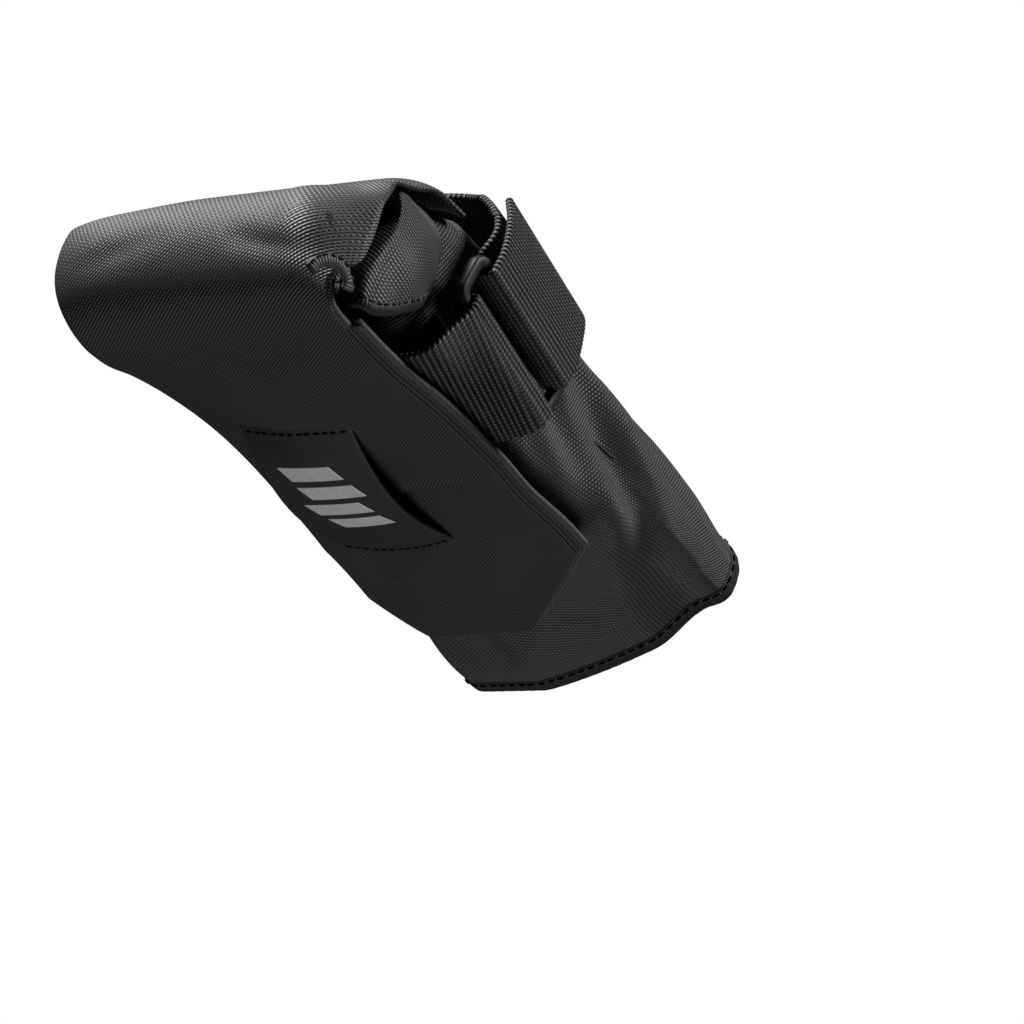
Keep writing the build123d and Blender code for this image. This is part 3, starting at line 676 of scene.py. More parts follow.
STRIP_FOLDS = [((-9, 34, 9), (-9, 8, 15), 2.8, -0.9), ((-9, 33, 13), (-3, 20, 29), 3.6, 0.8),
               ((-9, -34, 10), (-8, -6, 17), 3.0, -0.7), ((0, 36, 30), (6, 18, 36), 3.6, -0.7),
               ((20, 33, 0), (42, 4, 0), 5.0, 0.5), ((36, 34, 0), (64, 14, 0), 5.0, -0.5),
               ((64, 33, 0), (78, 12, 0), 4.0, -0.5), ((73, 34, 0), (79, -22, 0), 1.3, 0.7),
               ((77, 34, 0), (83, -22, 0), 2.0, -0.5), ((12, -34, 2), (44, -26, 4), 4.0, -0.6),
               ((104, 20, -1), (128, -6, -3), 6.0, 0.7), ((96, -20, 0), (124, -28, -2), 5.0, -0.6),
               ((-2, -30, 30), (8, -6, 37), 4.0, 0.7)]


def fold_strip(points, outer):
    """Adds the strip's soft folds; outer is -1 where the normals point into the body."""
    push = sum(crease(points, *fold) for fold in STRIP_FOLDS)
    return points + normals_of(points) * (outer * push)[..., None]


strip_rows = np.concatenate([-np.linspace(REAR_TOP, 0.4, 96), np.linspace(0, FLAP_L, 150)])
strip_points, strip_cloth = strip_grid(strip_rows, near_edge(strip_rows), far_edge(strip_rows), 96)
side_of = np.sign((normals_of(strip_points)[-40, 48] @ np.array([0, 0, 1.0])))
strip_points = fold_strip(strip_points, -side_of)
strip_out = -side_of * normals_of(strip_points)
panel_cloth = woven("panel_weave", 40.0, grey(0.006, 1.1), grey(0.058, 1.06), swap=-18.0)
strip = grid_object("rear_and_flap_cloth", strip_points, strip_cloth, flip=side_of > 0)
thicken(strip, 1.1)
strip.data.materials.append(panel_cloth)
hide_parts("flap_panel", "rear_fold")


def hinge_span():
    """The two points of the flap's hinge, up the rear and past the fold, placed in the frame."""
    return place([(FOLD_A - 14.5, 0, 14.0), (FOLD_A + 1.5, 0, 0.0)])


def bend_with_flap(piece):
    """Bakes the piece's placement into its mesh; the hinge's two points are read but not used."""
    start, end = hinge_span()
    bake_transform(piece)


bend_with_flap(strip)

# ------------------------------------------------------------------ the flap's edges
# The outer strip's edge is bound with grosgrain; a seam across it holds the fastener inside.


def edge_frames(path, outward, middle):
    """Inward and outward directions along a bound edge: inward is square to the path and to the
    outward direction, on the side where the middle of the cloth lies."""
    ahead = unit(np.gradient(path, axis=0))
    inward = unit(np.cross(ahead, outward))
    toward = np.sign(np.einsum("ij,ij->i", inward, middle - path))
    inward = inward * toward[:, None]
    for _ in range(6):
        inward[1:-1] = unit(inward[:-2] + 2 * inward[1:-1] + inward[2:])
    return inward


def even(path, others, step):
    """The path and the directions that go with it, at even steps."""
    distance = run_along(path)
    at = np.arange(0, distance[-1], step)
    take = [np.stack([np.interp(at, distance, q[:, k]) for k in range(3)], -1) for q in (path, *others)]
    return take


first = int(np.argmax(strip_rows > -14.0))
around_edge = np.concatenate([strip_points[first:, -1], strip_points[-1, ::-1][1:-1],
                              strip_points[4:, 0][::-1]])
edge_out = np.concatenate([strip_out[first:, -1], strip_out[-1, ::-1][1:-1], strip_out[4:, 0][::-1]])
edge_middle = np.concatenate([strip_points[first:, 48], np.tile(strip_points[-30, 48], (94, 1)),
                              strip_points[4:, 48][::-1]])
edge_path, edge_out, edge_middle = even(around_edge, (edge_out, edge_middle), 0.8)
edge_out = unit(edge_out)
edge_in = edge_frames(edge_path, edge_out, edge_middle)
flap_tape = tape_piece("flap_edge_binding", edge_path - edge_out * 0.55, edge_in, edge_out, 3.6, 2.3,
                       finish=edge_cloth)
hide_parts("flap_binding")
bend_with_flap(flap_tape)
sewn = stitches("flap_edge_stitches", edge_path + edge_in * 3.0 + edge_out * 0.45, edge_out, None)
bend_with_flap(sewn)


def on_strip(s, b):
    """Places on the strip's outer face at distance s and across b, with the outward direction."""
    row = np.interp(s, strip_rows, np.arange(len(strip_rows)))
    low = np.minimum(row.astype(int), len(strip_rows) - 2)
    part = (row - low)[:, None, None]
    line = strip_points[low] * (1 - part) + strip_points[low + 1] * part
    out_line = strip_out[low] * (1 - part) + strip_out[low + 1] * part
    column = np.array([np.interp(b[i], line[i, :, 1], np.arange(line.shape[1])) for i in range(len(b))])
    left = np.minimum(column.astype(int), line.shape[1] - 2)
    rest = (column - left)[:, None]
    each = np.arange(len(b))
    spot = line[each, left] * (1 - rest) + line[each, left + 1] * rest
    return spot, unit(out_line[each, left] * (1 - rest) + out_line[each, left + 1] * rest)


SEAM_S = 66.0
SEAM_NEAR, SEAM_FAR = 31.5, -30.5
seam_b = np.linspace(SEAM_NEAR, SEAM_FAR, 90)
seam_t = (SEAM_NEAR - seam_b) / (SEAM_NEAR - SEAM_FAR)
seam_s = SEAM_S + 5.0 * seam_t ** 2 + 5.5 * seam_t
seam_at, seam_up = on_strip(seam_s, seam_b)
stitches("flap_cross_stitches", seam_at + seam_up * 0.12, seam_up, "flap", 2.6, 2.1, 0.8)

# ------------------------------------------------------------------ inner flap panel
# A lighter cloth backs the flap and shows as a narrow bound lip along its near edge. A hook patch
# is sewn to it, and grips the loop patch on the body.
INNER_REACH = 2.4
inner_rows = np.linspace(1.5, FLAP_L - 0.8, 130)
inner_near = near_edge(inner_rows) + INNER_REACH
inner_far = far_edge(inner_rows) + 0.6
inner_points, inner_cloth = strip_grid(inner_rows, inner_near, inner_far, 70)
inner_points = fold_strip(inner_points, -side_of)
inner_up = side_of * normals_of(inner_points)
inner_points = inner_points + inner_up * 1.45
inner = grid_object("flap_inner_cloth", inner_points, inner_cloth, flip=side_of < 0)
thicken(inner, 0.8)
inner.data.materials.append(lining.data.materials[0])
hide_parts("flap_inner_panel")
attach(inner, "flap")

lip = np.concatenate([inner_points[:, -1], inner_points[-1, ::-1][1:-1], inner_points[:, 0][::-1]])
lip_up = np.concatenate([inner_up[:, -1], inner_up[-1, ::-1][1:-1], inner_up[:, 0][::-1]])
lip_middle = np.concatenate([inner_points[:, 35], np.tile(inner_points[-28, 35], (68, 1)),
                             inner_points[:, 35][::-1]])
lip_path, lip_up, lip_middle = even(lip, (lip_up, lip_middle), 0.8)
lip_up = unit(lip_up)
lip_in = edge_frames(lip_path, lip_up, lip_middle)
lip_tape = tape_piece("flap_inner_edge_binding", lip_path + lip_up * -0.35, lip_in, -lip_up, 3.2, 1.5,
                      finish=edge_cloth)
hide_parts("flap_inner_binding")
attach(lip_tape, "flap")
near_count = int(len(lip_path) * 0.42)
stitches("flap_lip_stitches", (lip_path - lip_up * 1.0 + lip_in * 0.75)[:near_count], -lip_up[:near_count],
         "flap", 1.5, 1.25, 0.34)


def napped(name):
    """Brushed hook and loop: short tufts that take no shine."""
    shade = Shade(name, Roughness=0.9, Specular_IOR_Level=0.2, Sheen_Weight=0.3, Sheen_Roughness=0.6)
    nap = shade.noise(2600.0, 4.0, 0.7)
    tuft = shade.noise(700.0, 2.0)
    return shade.finish(shade.mix(nap * 0.7 + tuft * 0.3, grey(0.003), grey(0.03)), None, nap + tuft,
                        0.0005)


nap_cloth = napped("hook_and_loop_nap")
hook_low, hook_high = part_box("hook_patch")
hook_s = np.linspace((hook_low.x - datum_x) * 1000 - FOLD_A, (hook_high.x - datum_x) * 1000 - FOLD_A, 44)
wide = np.ones_like(hook_s)
hook_points, hook_cloth = strip_grid(hook_s, -hook_low.y * 1000 * wide, -hook_high.y * 1000 * wide, 46)
hook_points = fold_strip(hook_points, -side_of)
hook_points = hook_points + side_of * normals_of(hook_points) * 2.35
hook = grid_object("hook_patch_nap", hook_points, hook_cloth, flip=side_of < 0)
thicken(hook, 0.45)
hook.data.materials.append(nap_cloth)
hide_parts("hook_patch")
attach(hook, "flap")

loop_low, loop_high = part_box("loop_patch")
u, v = np.meshgrid(np.linspace((loop_low.x - datum_x) * 1000, (loop_high.x - datum_x) * 1000, 60),
                   np.linspace(min(-loop_low.y * 1000, 20.0), -loop_high.y * 1000, 46), indexing="ij")
loop_points = np.stack([u, v, body_low(u) - 0.05], -1)
loop_points[..., 2] += floor_lift(u, v)
pile = grid_object("loop_patch_nap", loop_points, np.stack([u, v], -1))
thicken(pile, 0.5, 0.0)
pile.data.materials.append(nap_cloth)
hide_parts("loop_patch")
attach(pile, "wrap")

# ------------------------------------------------------------------ wings
# At each rear corner the panel's spare cloth is folded like the end of a parcel: it turns round the
# corner in a sharp ridge, goes in to a deep pleat, and comes out again flat along the bag's side.


def smooth_grid(controls, rows, cols):
    """Grid through a small grid of control points: Catmull-Rom curves one way, then the other."""
    def along(points, count):
        n = len(points)
        t = np.linspace(0, n - 1 - 1e-6, count)
        i = t.astype(int)
        f = (t - i).reshape(-1, *([1] * (points.ndim - 1)))
        ahead = points[np.minimum(i + 2, n - 1)]
        before = points[np.maximum(i - 1, 0)]
        p, q = points[i], points[i + 1]
        return 0.5 * (2 * p + (q - before) * f + (2 * before - 5 * p + 4 * q - ahead) * f ** 2
                      + (3 * p - before - 3 * q + ahead) * f ** 3)
    first = along(np.asarray(controls, float), rows)
    return along(first.transpose(1, 0, 2), cols).transpose(1, 0, 2)


WING = [[(-1.0, 32.0, 5.8), (2.0, 33.6, 5.6), (3.8, 22.0, 5.2), (6.0, 26.5, 5.2), (6.8, 36.4, 5.0),
         (11.0, 38.2, 5.4), (18.0, 38.6, 9.4), (24.2, 38.2, 14.4), (27.4, 37.4, 17.4), (28.0, 35.8, 18.0)],
        [(-1.0, 32.0, 12.0), (2.0, 33.6, 12.0), (3.6, 21.0, 12.0), (4.8, 26.5, 12.0), (5.6, 36.6, 12.0),
         (10.5, 38.6, 12.4), (17.5, 39.4, 14.8), (24.2, 38.8, 18.0), (27.8, 37.6, 20.6), (28.6, 35.6, 21.0)],
        [(0.0, 32.6, 19.5), (2.6, 33.8, 19.5), (6.4, 21.5, 19.5), (6.8, 26.5, 19.5), (7.6, 36.8, 19.5),
         (12.0, 38.6, 19.8), (18.8, 39.9, 21.0), (24.4, 39.0, 22.6), (28.2, 37.4, 24.0), (29.0, 35.2, 24.2)],
        [(1.0, 33.2, 25.4), (3.8, 34.2, 25.4), (9.6, 24.5, 25.0), (9.2, 26.5, 25.8), (10.0, 37.0, 26.0),
         (13.4, 38.6, 26.2), (18.0, 39.7, 26.8), (24.4, 38.8, 27.4), (28.6, 37.2, 28.2), (29.4, 35.0, 28.4)],
        [(3.6, 34.4, 29.6), (5.8, 35.0, 29.6), (11.8, 28.8, 29.0), (12.6, 31.2, 29.4), (10.9, 37.2, 30.4),
         (12.9, 38.3, 30.8), (16.6, 39.0, 31.4), (23.6, 38.4, 31.4), (29.0, 37.0, 31.6), (30.0, 34.8, 31.6)],
        [(5.4, 35.6, 33.2), (6.8, 36.2, 33.4), (10.2, 34.0, 32.8), (10.2, 35.0, 33.4), (9.7, 37.2, 34.3),
         (11.6, 37.7, 34.6), (15.0, 37.9, 34.9), (22.0, 37.4, 34.6), (28.6, 36.2, 34.0), (30.2, 34.0, 33.6)],
        [(6.4, 35.6, 35.0), (7.2, 36.0, 35.8), (7.9, 35.6, 36.2), (8.6, 35.8, 36.5), (9.6, 35.8, 36.9),
         (11.6, 35.6, 37.4), (15.0, 35.0, 38.0), (21.6, 34.4, 38.4), (28.4, 33.8, 38.2), (31.0, 32.6, 38.0)],
        [(8.4, 29.6, 36.8), (9.2, 30.4, 37.6), (10.0, 30.6, 38.3), (11.0, 30.6, 39.0), (12.2, 30.4, 39.8),
         (14.0, 30.0, 40.6), (17.0, 29.4, 41.6), (22.6, 28.6, 42.6), (30.0, 28.0, 43.0), (34.0, 27.6, 43.2)]]

for side_name, side in (("near", 1.0), ("far", -1.0)):
    wing_points = smooth_grid(np.array(WING) * np.array([1.0, side, 1.0]), 80, 150)
    wing_points[..., 1] *= 1.0 if side > 0 else 0.985
    soft = 0.25 * np.sin(wing_points[..., 2] * 0.5 + wing_points[..., 0] * 0.3)
    wing_out = unit(normals_of(wing_points) * np.sign(normals_of(wing_points)[30, 110, 1] * side))
    wing_points = wing_points + wing_out * (soft * ease(wing_points[..., 0], 8, 14))[..., None]
    down = np.concatenate([np.zeros((1, 150)), np.cumsum(np.linalg.norm(
        np.diff(wing_points, axis=0), axis=2), 0)])
    over = np.concatenate([np.zeros((80, 1)), np.cumsum(np.linalg.norm(
        np.diff(wing_points, axis=1), axis=2), 1)], 1)
    flipped = bool(normals_of(wing_points)[30, 110, 1] * side < 0)
    wing = grid_object(side_name + "_wing_cloth", wing_points, np.stack(
        np.broadcast_arrays(down.mean(1)[:, None], over.mean(0)[None] * side), -1),
                       flip=not flipped)
    thicken(wing, 1.0)
    wing.data.materials.append(panel_cloth)
    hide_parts(side_name + "_wing")
    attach(wing, "wrap")
    bound = np.concatenate([wing_points[0, 8:], wing_points[1:52, -1]])
    bound_out = np.concatenate([wing_out[0, 8:], wing_out[1:52, -1]])
    bound_middle = np.concatenate([wing_points[30, 8:], np.tile(wing_points[40, 100], (51, 1))])
    bound, bound_out, bound_middle = even(bound, (bound_out, bound_middle), 0.6)
    bound_out = unit(bound_out)
    bound_in = edge_frames(bound, bound_out, bound_middle)
    edging = tape_piece(side_name + "_wing_edging", bound - bound_out * 0.5, bound_in, bound_out, 2.3, 1.7)
    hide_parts(side_name + "_wing_binding")
    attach(edging, "wrap")
    stitches(side_name + "_wing_stitches", bound + bound_in * 1.9 + bound_out * 0.12, bound_out, "wrap",
             2.4, 1.9, 0.6)

arch = np.array([(-9.2, 35.2, 4.2), (-8.6, 35.8, 5.8), (-7.0, 36.6, 7.3), (-4.6, 37.4, 7.9),
                 (-2.4, 37.9, 7.3), (-1.0, 38.1, 6.0), (-0.8, 38.0, 4.6)])
arch = smooth_grid(np.stack([arch, arch], 1), 60, 2)[:, 0]
arch_out = np.tile([-0.25, 0.97, 0.0], (60, 1))
arch_ahead = unit(np.gradient(arch, axis=0))
arch_in = unit(np.cross(arch_out, arch_ahead))
arch_in = arch_in * np.sign(arch_in[20, 2])
curl = tape_piece("near_wing_curl", arch - arch_in * 0.4, arch_in, arch_out, 2.3, 1.5, finish=edge_cloth)
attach(curl, "wrap")
stitches("near_curl_stitches", arch + arch_in * 1.7 + arch_out * 0.62, arch_out, "wrap",
         2.0, 1.5, 0.5)

# ------------------------------------------------------------------ light loop
# A strap of smooth rubber-coated sheet sewn to the flap at its two ends only, so that it bows out
# and a rear light clips behind it. A plain reflective print of four bars is on it.
LOOP_REAR_A, LOOP_REAR_B = 45.0, -5.2
LOOP_L, LOOP_HALF_W = 57.6, 15.6
LOOP_BOW = 5.6


def loop_surface(u, v, lift):
    """The loop's outer face: u runs -1 to 1 along, v -1 to 1 across; it bows away from the flap by
    a cosine, leans a little to the far side at its lower end, and its front end is curved."""
    t = (u + 1) / 2
    a = LOOP_REAR_A + 0.35 * v + t * (LOOP_L - 1.0 * v + 3.4 * (1 - v ** 2) * t)
    b = LOOP_REAR_B - 6.7 * t + v * (LOOP_HALF_W + 1.2 * t - 0.9 * np.sin(np.pi * t))
    bow = np.maximum(np.cos(u * np.pi / 2), 0) ** 0.85
    face = np.minimum(flap_height(a, b), 3.5) * (1 - bow)
    sag = 0.5 * (1 - v ** 2) * bow
    c = face - 0.35 - LOOP_BOW * bow - sag - lift
    return np.stack([a, b, c], -1), np.stack([a, b], -1)


u, v = np.meshgrid(np.linspace(-1, 1, 90), np.linspace(-1, 1, 48), indexing="ij")
label_points, label_cloth = loop_surface(u, v, 0.35)
label = grid_object("light_loop_sheet", label_points, label_cloth, flip=True)
thicken(label, 1.0)
bevel = label.modifiers.new("edge", "BEVEL")
bevel.width, bevel.segments, bevel.limit_method = 0.00025, 2, "ANGLE"
shade = Shade("rubber_sheet", Specular_IOR_Level=0.4)
grain = shade.noise(3800.0, 3.0, 0.6)
cloudy = shade.noise(55.0, 3.0)
label.data.materials.append(shade.finish(
    shade.mix(grain * 0.4 + cloudy * 0.5, grey(0.009, 1.05), grey(0.02, 1.08)),
    cloudy * 0.14 + 0.5 + grain * 0.08, grain, 0.00006))
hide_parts("light_loop")
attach(label, "flap")

for end, row_u in (("rear", -0.93), ("front", 0.9)):
    line_v = np.linspace(-0.93, 0.93, 40)
    seam, _ = loop_surface(np.full(40, row_u), line_v, 0.42)
    stitches("loop_" + end + "_stitches", seam, np.tile([0, 0, -1.0], (40, 1)), "flap",
             2.4, 1.8, 0.6)

shade = Shade("reflective_beads", Metallic=0.15, Specular_IOR_Level=0.6)
bead = shade.noise(5200.0, 2.0)
worn = shade.noise(300.0, 4.0, 0.7)
print_film = shade.finish(shade.mix(bead * 0.5 + worn * 0.5, grey(0.34, 1.04), grey(0.72, 1.03)),
                          worn * 0.2 + 0.32, bead, 0.00004)
for order, (start_v, end_v) in enumerate(((-0.60, 0.36), (-0.46, 0.56), (-0.56, 0.46), (-0.36, 0.60))):
    mid_u = -0.50 + order * 0.235
    u, v = np.meshgrid(np.linspace(mid_u - 0.082, mid_u + 0.082, 12), np.linspace(start_v, end_v, 36),
                       indexing="ij")
    skew = (u - mid_u) * 0.9
    bar_points, bar_cloth = loop_surface(u, v + skew, 0.47)
    bar = grid_object(f"reflective_bar_{order + 1}", bar_points, bar_cloth, flip=True)
    thicken(bar, 0.12)
    bar.data.materials.append(print_film)
    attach(bar, "flap")
    if order == 0:
        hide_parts("reflective_patch")

# ------------------------------------------------------------------ strap
# One length of heavy nylon webbing, cross-ribbed: sewn under the body, round the ring's lower bar
# on the near side; the other part comes over the rails, down through the ring's upper bar, and its
# free end doubles back up and grips itself with hook tape.
STRAP_W = 38.0
STRAP_T = 1.8
RIB_PITCH = 1.25
BAR_R = 1.5
RING_GAP = 0.35
RING_MID = np.array([52.0, 44.3, 21.0])
turn, lean = math.radians(13.6), math.radians(4.0)
BAR = np.array([math.cos(turn), 0, -math.sin(turn)])
RISE = np.array([math.sin(turn), 0, math.cos(turn)])
OUT = np.array([0, 1.0, 0])
RING_UP = RISE * math.cos(lean) + OUT * math.sin(lean)
RING_OUT = OUT * math.cos(lean) - RISE * math.sin(lean)
AHEAD = np.array([1.0, 0, 0])


def heavy_webbing(name):
    """Cords side by side across the strap, each wrapped by threads: beads in rows."""
    shade = Shade(name, Specular_IOR_Level=0.35)
    x, y = shade.cloth_axes()
    cord = (x * (math.pi / RIB_PITCH)).humps()
    wrapped = (y * (math.pi / 1.15)).humps() ** 0.5
    fine = shade.noise(4800.0)
    patch = shade.noise(60.0, 3.0)
    height = cord * (wrapped * 0.65 + 0.35)
    tone = (height * height * 0.85 + fine * 0.15 + patch * 0.2 - 0.14).apply("MAXIMUM", 0.0)
    return shade.finish(shade.mix(tone, grey(0.0012), grey(0.075, 1.04)), (1 - height) * 0.25 + 0.42,
                        height + fine * 0.15, 0.00045)


web_cloth = heavy_webbing("ribbed_webbing")


def rounded_path(stations):
    """Points, width directions of a webbing run: corners are cut off, again and again."""
    points = np.array([s[0] for s in stations], float)
    widths = np.array([s[1] for s in stations], float)
    both = np.concatenate([points, widths], 1)
    for _ in range(4):
        quarter = both[:-1] * 0.75 + both[1:] * 0.25
        three = both[:-1] * 0.25 + both[1:] * 0.75
        middle = np.stack([quarter, three], 1).reshape(-1, 6)
        both = np.concatenate([both[:1], middle, both[-1:]])
    return both[:, :3], unit(both[:, 3:])


def webbing(name, stations, width=STRAP_W, thick=STRAP_T, cloth=None, ribbed=True):
    """A run of webbing: a flat profile with round edges, whose two faces rise and fall with the
    ribs, carried along the rounded path through the stations (middle, width direction)."""
    path, across = rounded_path(stations)
    path, across = even(path, (across,), 0.21)
    across = unit(across)
    ahead = unit(np.gradient(path, axis=0))
    across = unit(across - ahead * np.einsum("ij,ij->i", across, ahead)[:, None])
    up = np.cross(ahead, across)
    distance = run_along(path)
    half_w, half_t = width / 2, thick / 2
    flat = np.linspace(-half_w + half_t, half_w - half_t, 27)
    bend = np.linspace(np.pi / 2, -np.pi / 2, 7)[1:-1]
    upper = np.stack([flat, np.full(27, half_t)], -1)
    right = np.stack([half_w - half_t + half_t * np.cos(bend), half_t * np.sin(bend)], -1)
    lower = np.stack([flat[::-1], np.full(27, -half_t)], -1)
    left = np.stack([-half_w + half_t - half_t * np.cos(bend), -half_t * np.sin(bend)], -1)
    profile = np.concatenate([upper, right, lower, left])
    rib = np.abs(np.sin(distance * np.pi / RIB_PITCH)) if ribbed else np.ones_like(distance)
    scale = 0.86 + 0.14 * rib
    edge = 1 - 0.006 * (1 - rib)
    points = (path[:, None] + across[:, None] * (profile[None, :, :1] * edge[:, None, None])
              + up[:, None] * (profile[None, :, 1:] * scale[:, None, None]))
    reach = np.concatenate([profile[:, 0], profile[:1, 0]])
    cloth_mm = np.stack(np.broadcast_arrays(distance[:, None], reach[None] + half_w), -1)
    piece = grid_object(name, points, cloth_mm, around=True, caps=True)
    outwards(piece)
    piece.data.materials.append(cloth or web_cloth)
    return piece


beside = BAR_R + RING_GAP + STRAP_T / 2
above = beside + 0.5


def at_ring(up, out):
    """A place by the ring: up along its short way and out from its plane."""
    return RING_MID + RING_UP * up + RING_OUT * out


BASE_UP = 3.9


def skewed(degrees, slope=0.0):
    """Width direction of webbing that crosses the body at a slant, on a face tipped by slope."""
    t = math.radians(degrees)
    return np.array([math.cos(t), -math.sin(t) * math.cos(slope), -math.sin(t) * math.sin(slope)])


near_run = [((43.4, 20.0, BASE_UP), skewed(8)), ((45.4, 30.0, BASE_UP), skewed(12)),
            ((46.9, 36.6, BASE_UP + 0.7), skewed(13.6, 0.3)), ((48.7, 42.6, 9.6), skewed(13.6, 1.2)),
            (at_ring(-8.0, beside), BAR), (at_ring(-6.0, beside), BAR), (at_ring(-3.55, beside), BAR),
            (at_ring(-3.55, -beside), BAR), (at_ring(-8.5, -beside), BAR)]
near_loop = webbing("strap_near_turn", near_run)
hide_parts("strap_near_loop")
base_run = [((43.4, 19.98, BASE_UP), skewed(8)), ((41.6, 0.0, BASE_UP), skewed(4)),
            ((41.2, -22.0, BASE_UP), AHEAD), ((41.2, -28.0, BASE_UP + 0.5), AHEAD)]
base = webbing("strap_under_body", base_run)
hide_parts("strap_base")
far_run = [((41.2, -28.0, BASE_UP + 0.5), AHEAD), ((41.6, -33.5, BASE_UP + 2.2), AHEAD),
           ((43.5, -38.6, 11.5), AHEAD), ((46.0, -40.6, 17.0), AHEAD), ((53.0, -41.0, 37.0), AHEAD),
           ((57.8, -38.4, 47.0), AHEAD), ((58.6, -33.0, 52.2), AHEAD)]
far_side_strap = webbing("strap_far_side", far_run)
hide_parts("strap_far")

split = 0.5 + 0.2 + STRAP_T / 2
CLIMB = [(16.0, 0.0, 0.0), (22.5, -2.4, 0.35), (28.5, -6.9, 0.7), (33.0, -12.0, 0.9)]


def climbing(step, aside):
    """A place on the strap's climb to the rails, aside from its middle line, and its width
    direction there: it leans in more and more as it nears the rail."""
    up, out, tip = CLIMB[step]
    spot = at_ring(up, out) + aside * (RING_OUT * math.cos(tip) + RING_UP * math.sin(tip))
    return spot, BAR * (1 - 0.25 * step) + AHEAD * 0.25 * step


riser_run = [(at_ring(7.2, above), BAR), (at_ring(5.0, above), BAR), (at_ring(3.25, above), BAR),
             (at_ring(3.25, -above), BAR), (at_ring(6.0, -above), BAR), (at_ring(9.5, -above), BAR),
             climbing(0, -split), climbing(1, -split)]
riser = webbing("strap_riser_run", riser_run)
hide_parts("strap_riser")
tail_run = [(at_ring(7.25, above), BAR), (at_ring(9.5, above), BAR), climbing(0, split), climbing(1, split),
            (climbing(1, split)[0] * 0.45 + climbing(2, split)[0] * 0.55, BAR)]
tail = webbing("strap_tail_end", tail_run)
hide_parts("strap_tail")
RAIL_UP, RAIL_R = 50.0, 3.5
RAIL_TOP = RAIL_UP + RAIL_R + 0.15 + STRAP_T / 2
over_run = [climbing(1, -split), climbing(2, -split), climbing(3, -split),
            ((59.0, 24.5, RAIL_TOP), AHEAD), ((59.0, 18.0, RAIL_TOP), AHEAD), ((59.0, 0.0, RAIL_TOP), AHEAD),
            ((59.0, -18.0, RAIL_TOP), AHEAD), ((59.0, -26.0, RAIL_TOP), AHEAD), ((58.6, -33.0, 52.2), AHEAD)]
over = webbing("strap_over_rails", over_run)
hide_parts("strap_over")
for run in (near_loop, base, far_side_strap, riser, over):
    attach(run, "wrap")
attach(tail, "tail")

for node, aside, body in (("strap_loop_tape", -0.38, "wrap"), ("strap_hook_tape", 0.38, "tail")):
    tape_run = [climbing(0, aside), climbing(1, aside)]
    strip_tape = webbing(node + "_nap", tape_run, STRAP_W - 6, 0.6, cloth=nap_cloth, ribbed=False)
    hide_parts(node)
    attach(strip_tape, body)

# ------------------------------------------------------------------ strap ring
# A moulded nylon rectangle with rounded bars: satin, lightly textured, polished where webbing rubs.
shade = Shade("moulded_nylon", Specular_IOR_Level=0.25)
spark = shade.noise(2400.0, 3.0, 0.6)
rub = shade.noise(120.0, 3.0)
ring_finish = shade.finish(shade.mix(rub, grey(0.005), grey(0.012, 1.04)), rub * 0.2 + 0.42, spark, 0.00004)
REAR_REACH, FRONT_REACH, BAR_REACH, BEND = 21.4, 19.6, 5.5, 2.6
corner = np.linspace(0, np.pi / 2, 8)
line = np.concatenate([np.stack([along * (reach - BEND) + BEND * np.cos(corner + turned),
                                 upward * (BAR_REACH - BEND) + BEND * np.sin(corner + turned)], -1)
                       for along, reach, upward, turned in (
                           (1, FRONT_REACH, 1, 0), (-1, REAR_REACH, 1, np.pi / 2),
                           (-1, REAR_REACH, -1, np.pi), (1, FRONT_REACH, -1, 1.5 * np.pi))])
ahead = unit(np.roll(line, -1, 0) - np.roll(line, 1, 0))
outside = np.stack([ahead[:, 1], -ahead[:, 0]], -1)
turn_round = np.linspace(0, 2 * np.pi, 24, endpoint=False)
wide = np.sign(np.cos(turn_round)) * np.abs(np.cos(turn_round)) ** 0.55 * BAR_R
deep = np.sign(np.sin(turn_round)) * np.abs(np.sin(turn_round)) ** 0.55 * BAR_R
flat = line[:, None] + outside[:, None] * wide[None, :, None]
ring_points = (RING_MID + flat[..., :1] * BAR + flat[..., 1:] * RING_UP
               + np.broadcast_to(deep[None, :, None], flat[..., :1].shape) * RING_OUT)
ring_points = np.concatenate([ring_points, ring_points[:1]])
ring = grid_object("strap_ring_frame", ring_points, np.zeros((33, 25, 2)), around=True)
merge(ring)
outwards(ring)
ring.data.materials.append(ring_finish)
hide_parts("strap_ring")
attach(ring, "ring")

# ------------------------------------------------------------------ cut cloth sizes
# Each piece cut from flat cloth: the size that it was cut to is worked out from its own lengths over
# the folded shape. The two edges of the strip are not straight, so its area is worked out as well; nothing
# keeps these figures.


def cut_size(points):
    """Width and length, in metres, of a piece: the lengths along its middle column and row."""
    rows, cols = points.shape[:2]
    wide = np.linalg.norm(np.diff(points[rows // 2], axis=0), axis=1).sum()
    long = np.linalg.norm(np.diff(points[:, cols // 2], axis=0), axis=1).sum()
    return wide / 1000, long / 1000


def cut_area(points):
    """Area, in square metres, of a grid: the sum of its cells' cross products."""
    one = points[1:, 1:] - points[:-1, :-1]
    two = points[1:, :-1] - points[:-1, 1:]
    return float(np.linalg.norm(np.cross(one, two), axis=-1).sum() / 2e6)


def declare(points):
    """Works out a cut piece's flat width, length and area; the figures are not kept."""
    wide, long = cut_size(points)
    area = cut_area(points)
    wide = max(wide, area / long)


closed = np.concatenate([wrap_points, wrap_points[:, :1]], 1)
declare(closed)
closed = np.concatenate([lining_points, lining_points[:, :1]], 1)
declare(closed)
declare(strip_points)
declare(inner_points)
declare(label_points)

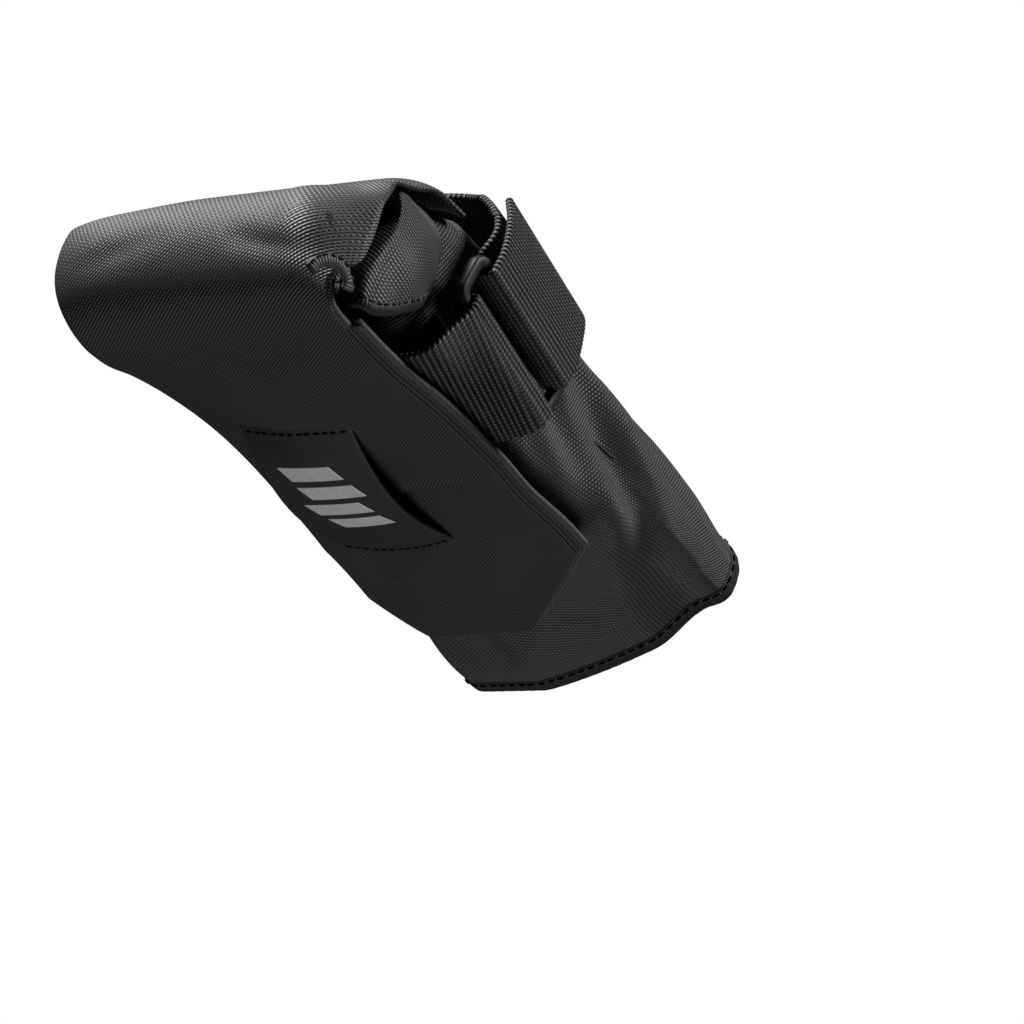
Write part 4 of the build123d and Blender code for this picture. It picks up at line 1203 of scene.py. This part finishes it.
# ------------------------------------------------------------------ floor, light and camera
# A pale floor and backdrop, two soft lights above, one to each side, and a weak one from below.
FLOOR_Z = -1.4
floor_mesh = bpy.data.meshes.new("floor")
FLOOR_REACH = 6.0
floor_mesh.from_pydata([(x * FLOOR_REACH, y * FLOOR_REACH, FLOOR_Z)
                        for x, y in ((-1, -1), (1, -1), (1, 1), (-1, 1))], [], [(0, 1, 2, 3)])
floor = bpy.data.objects.new("floor", floor_mesh)
bpy.context.scene.collection.objects.link(floor)
pale = Shade("pale_floor", Base_Color=grey(0.82), Roughness=0.8)
floor.data.materials.append(pale.material)
floor.visible_diffuse = floor.visible_glossy = False

world = bpy.data.worlds.new("studio")
world.use_nodes = True
tree = world.node_tree
surround = tree.nodes["Background"]
surround.inputs["Color"].default_value = grey(1.0)
surround.inputs["Strength"].default_value = 0.018
backdrop = tree.nodes.new("ShaderNodeBackground")
backdrop.inputs["Color"].default_value = grey(1.0)
backdrop.inputs["Strength"].default_value = 1.0
path = tree.nodes.new("ShaderNodeLightPath")
choose = tree.nodes.new("ShaderNodeMixShader")
tree.links.new(path.outputs["Is Camera Ray"], choose.inputs[0])
tree.links.new(surround.outputs[0], choose.inputs[1])
tree.links.new(backdrop.outputs[0], choose.inputs[2])
tree.links.new(choose.outputs[0], tree.nodes["World Output"].inputs[0])
bpy.context.scene.world = world
bpy.context.scene.view_settings.view_transform = "Standard"

RIGHT = np.array([0.50060, -0.83867, 0.21456])
UP = np.array([-0.45963, -0.04747, 0.88684])
BACK = np.array([-0.73359, -0.54257, -0.40924])
CENTRE = np.array([0.005, 0.0, -0.03])


def softbox(name, right, up, back, size, power):
    """A square soft light, placed round the object along the camera's right, up and back."""
    lamp = bpy.data.lights.new(name, "AREA")
    lamp.shape = "SQUARE"
    lamp.size = size
    lamp.energy = power
    lamp_object = bpy.data.objects.new(name, lamp)
    spot = CENTRE + RIGHT * right + UP * up + BACK * back
    toward = unit(CENTRE - spot)
    side = unit(np.cross(toward, UP))
    basis = np.stack([side, np.cross(side, toward), -toward], 1)
    matrix = Matrix([[*basis[i], spot[i]] for i in range(3)] + [[0, 0, 0, 1]])
    lamp_object.matrix_world = matrix
    bpy.context.scene.collection.objects.link(lamp_object)


softbox("key_light", -0.46, 1.00, -0.10, 0.36, 33.0)
softbox("side_light", 0.98, 0.62, -0.10, 0.34, 15.0)
softbox("low_bounce", 0.10, -0.92, 0.36, 0.70, 5.5)

camera_data = bpy.data.cameras.new("camera")
camera_data.lens = 126.56
camera_data.sensor_width = 36.0
camera = bpy.data.objects.new("camera", camera_data)
basis = np.stack([RIGHT, UP, BACK], 1)
spot = np.array([-0.57782, -0.47766, -0.39068])
camera.matrix_world = Matrix([[*basis[i], spot[i]] for i in range(3)] + [[0, 0, 0, 1]])
bpy.context.scene.collection.objects.link(camera)
bpy.context.scene.camera = camera
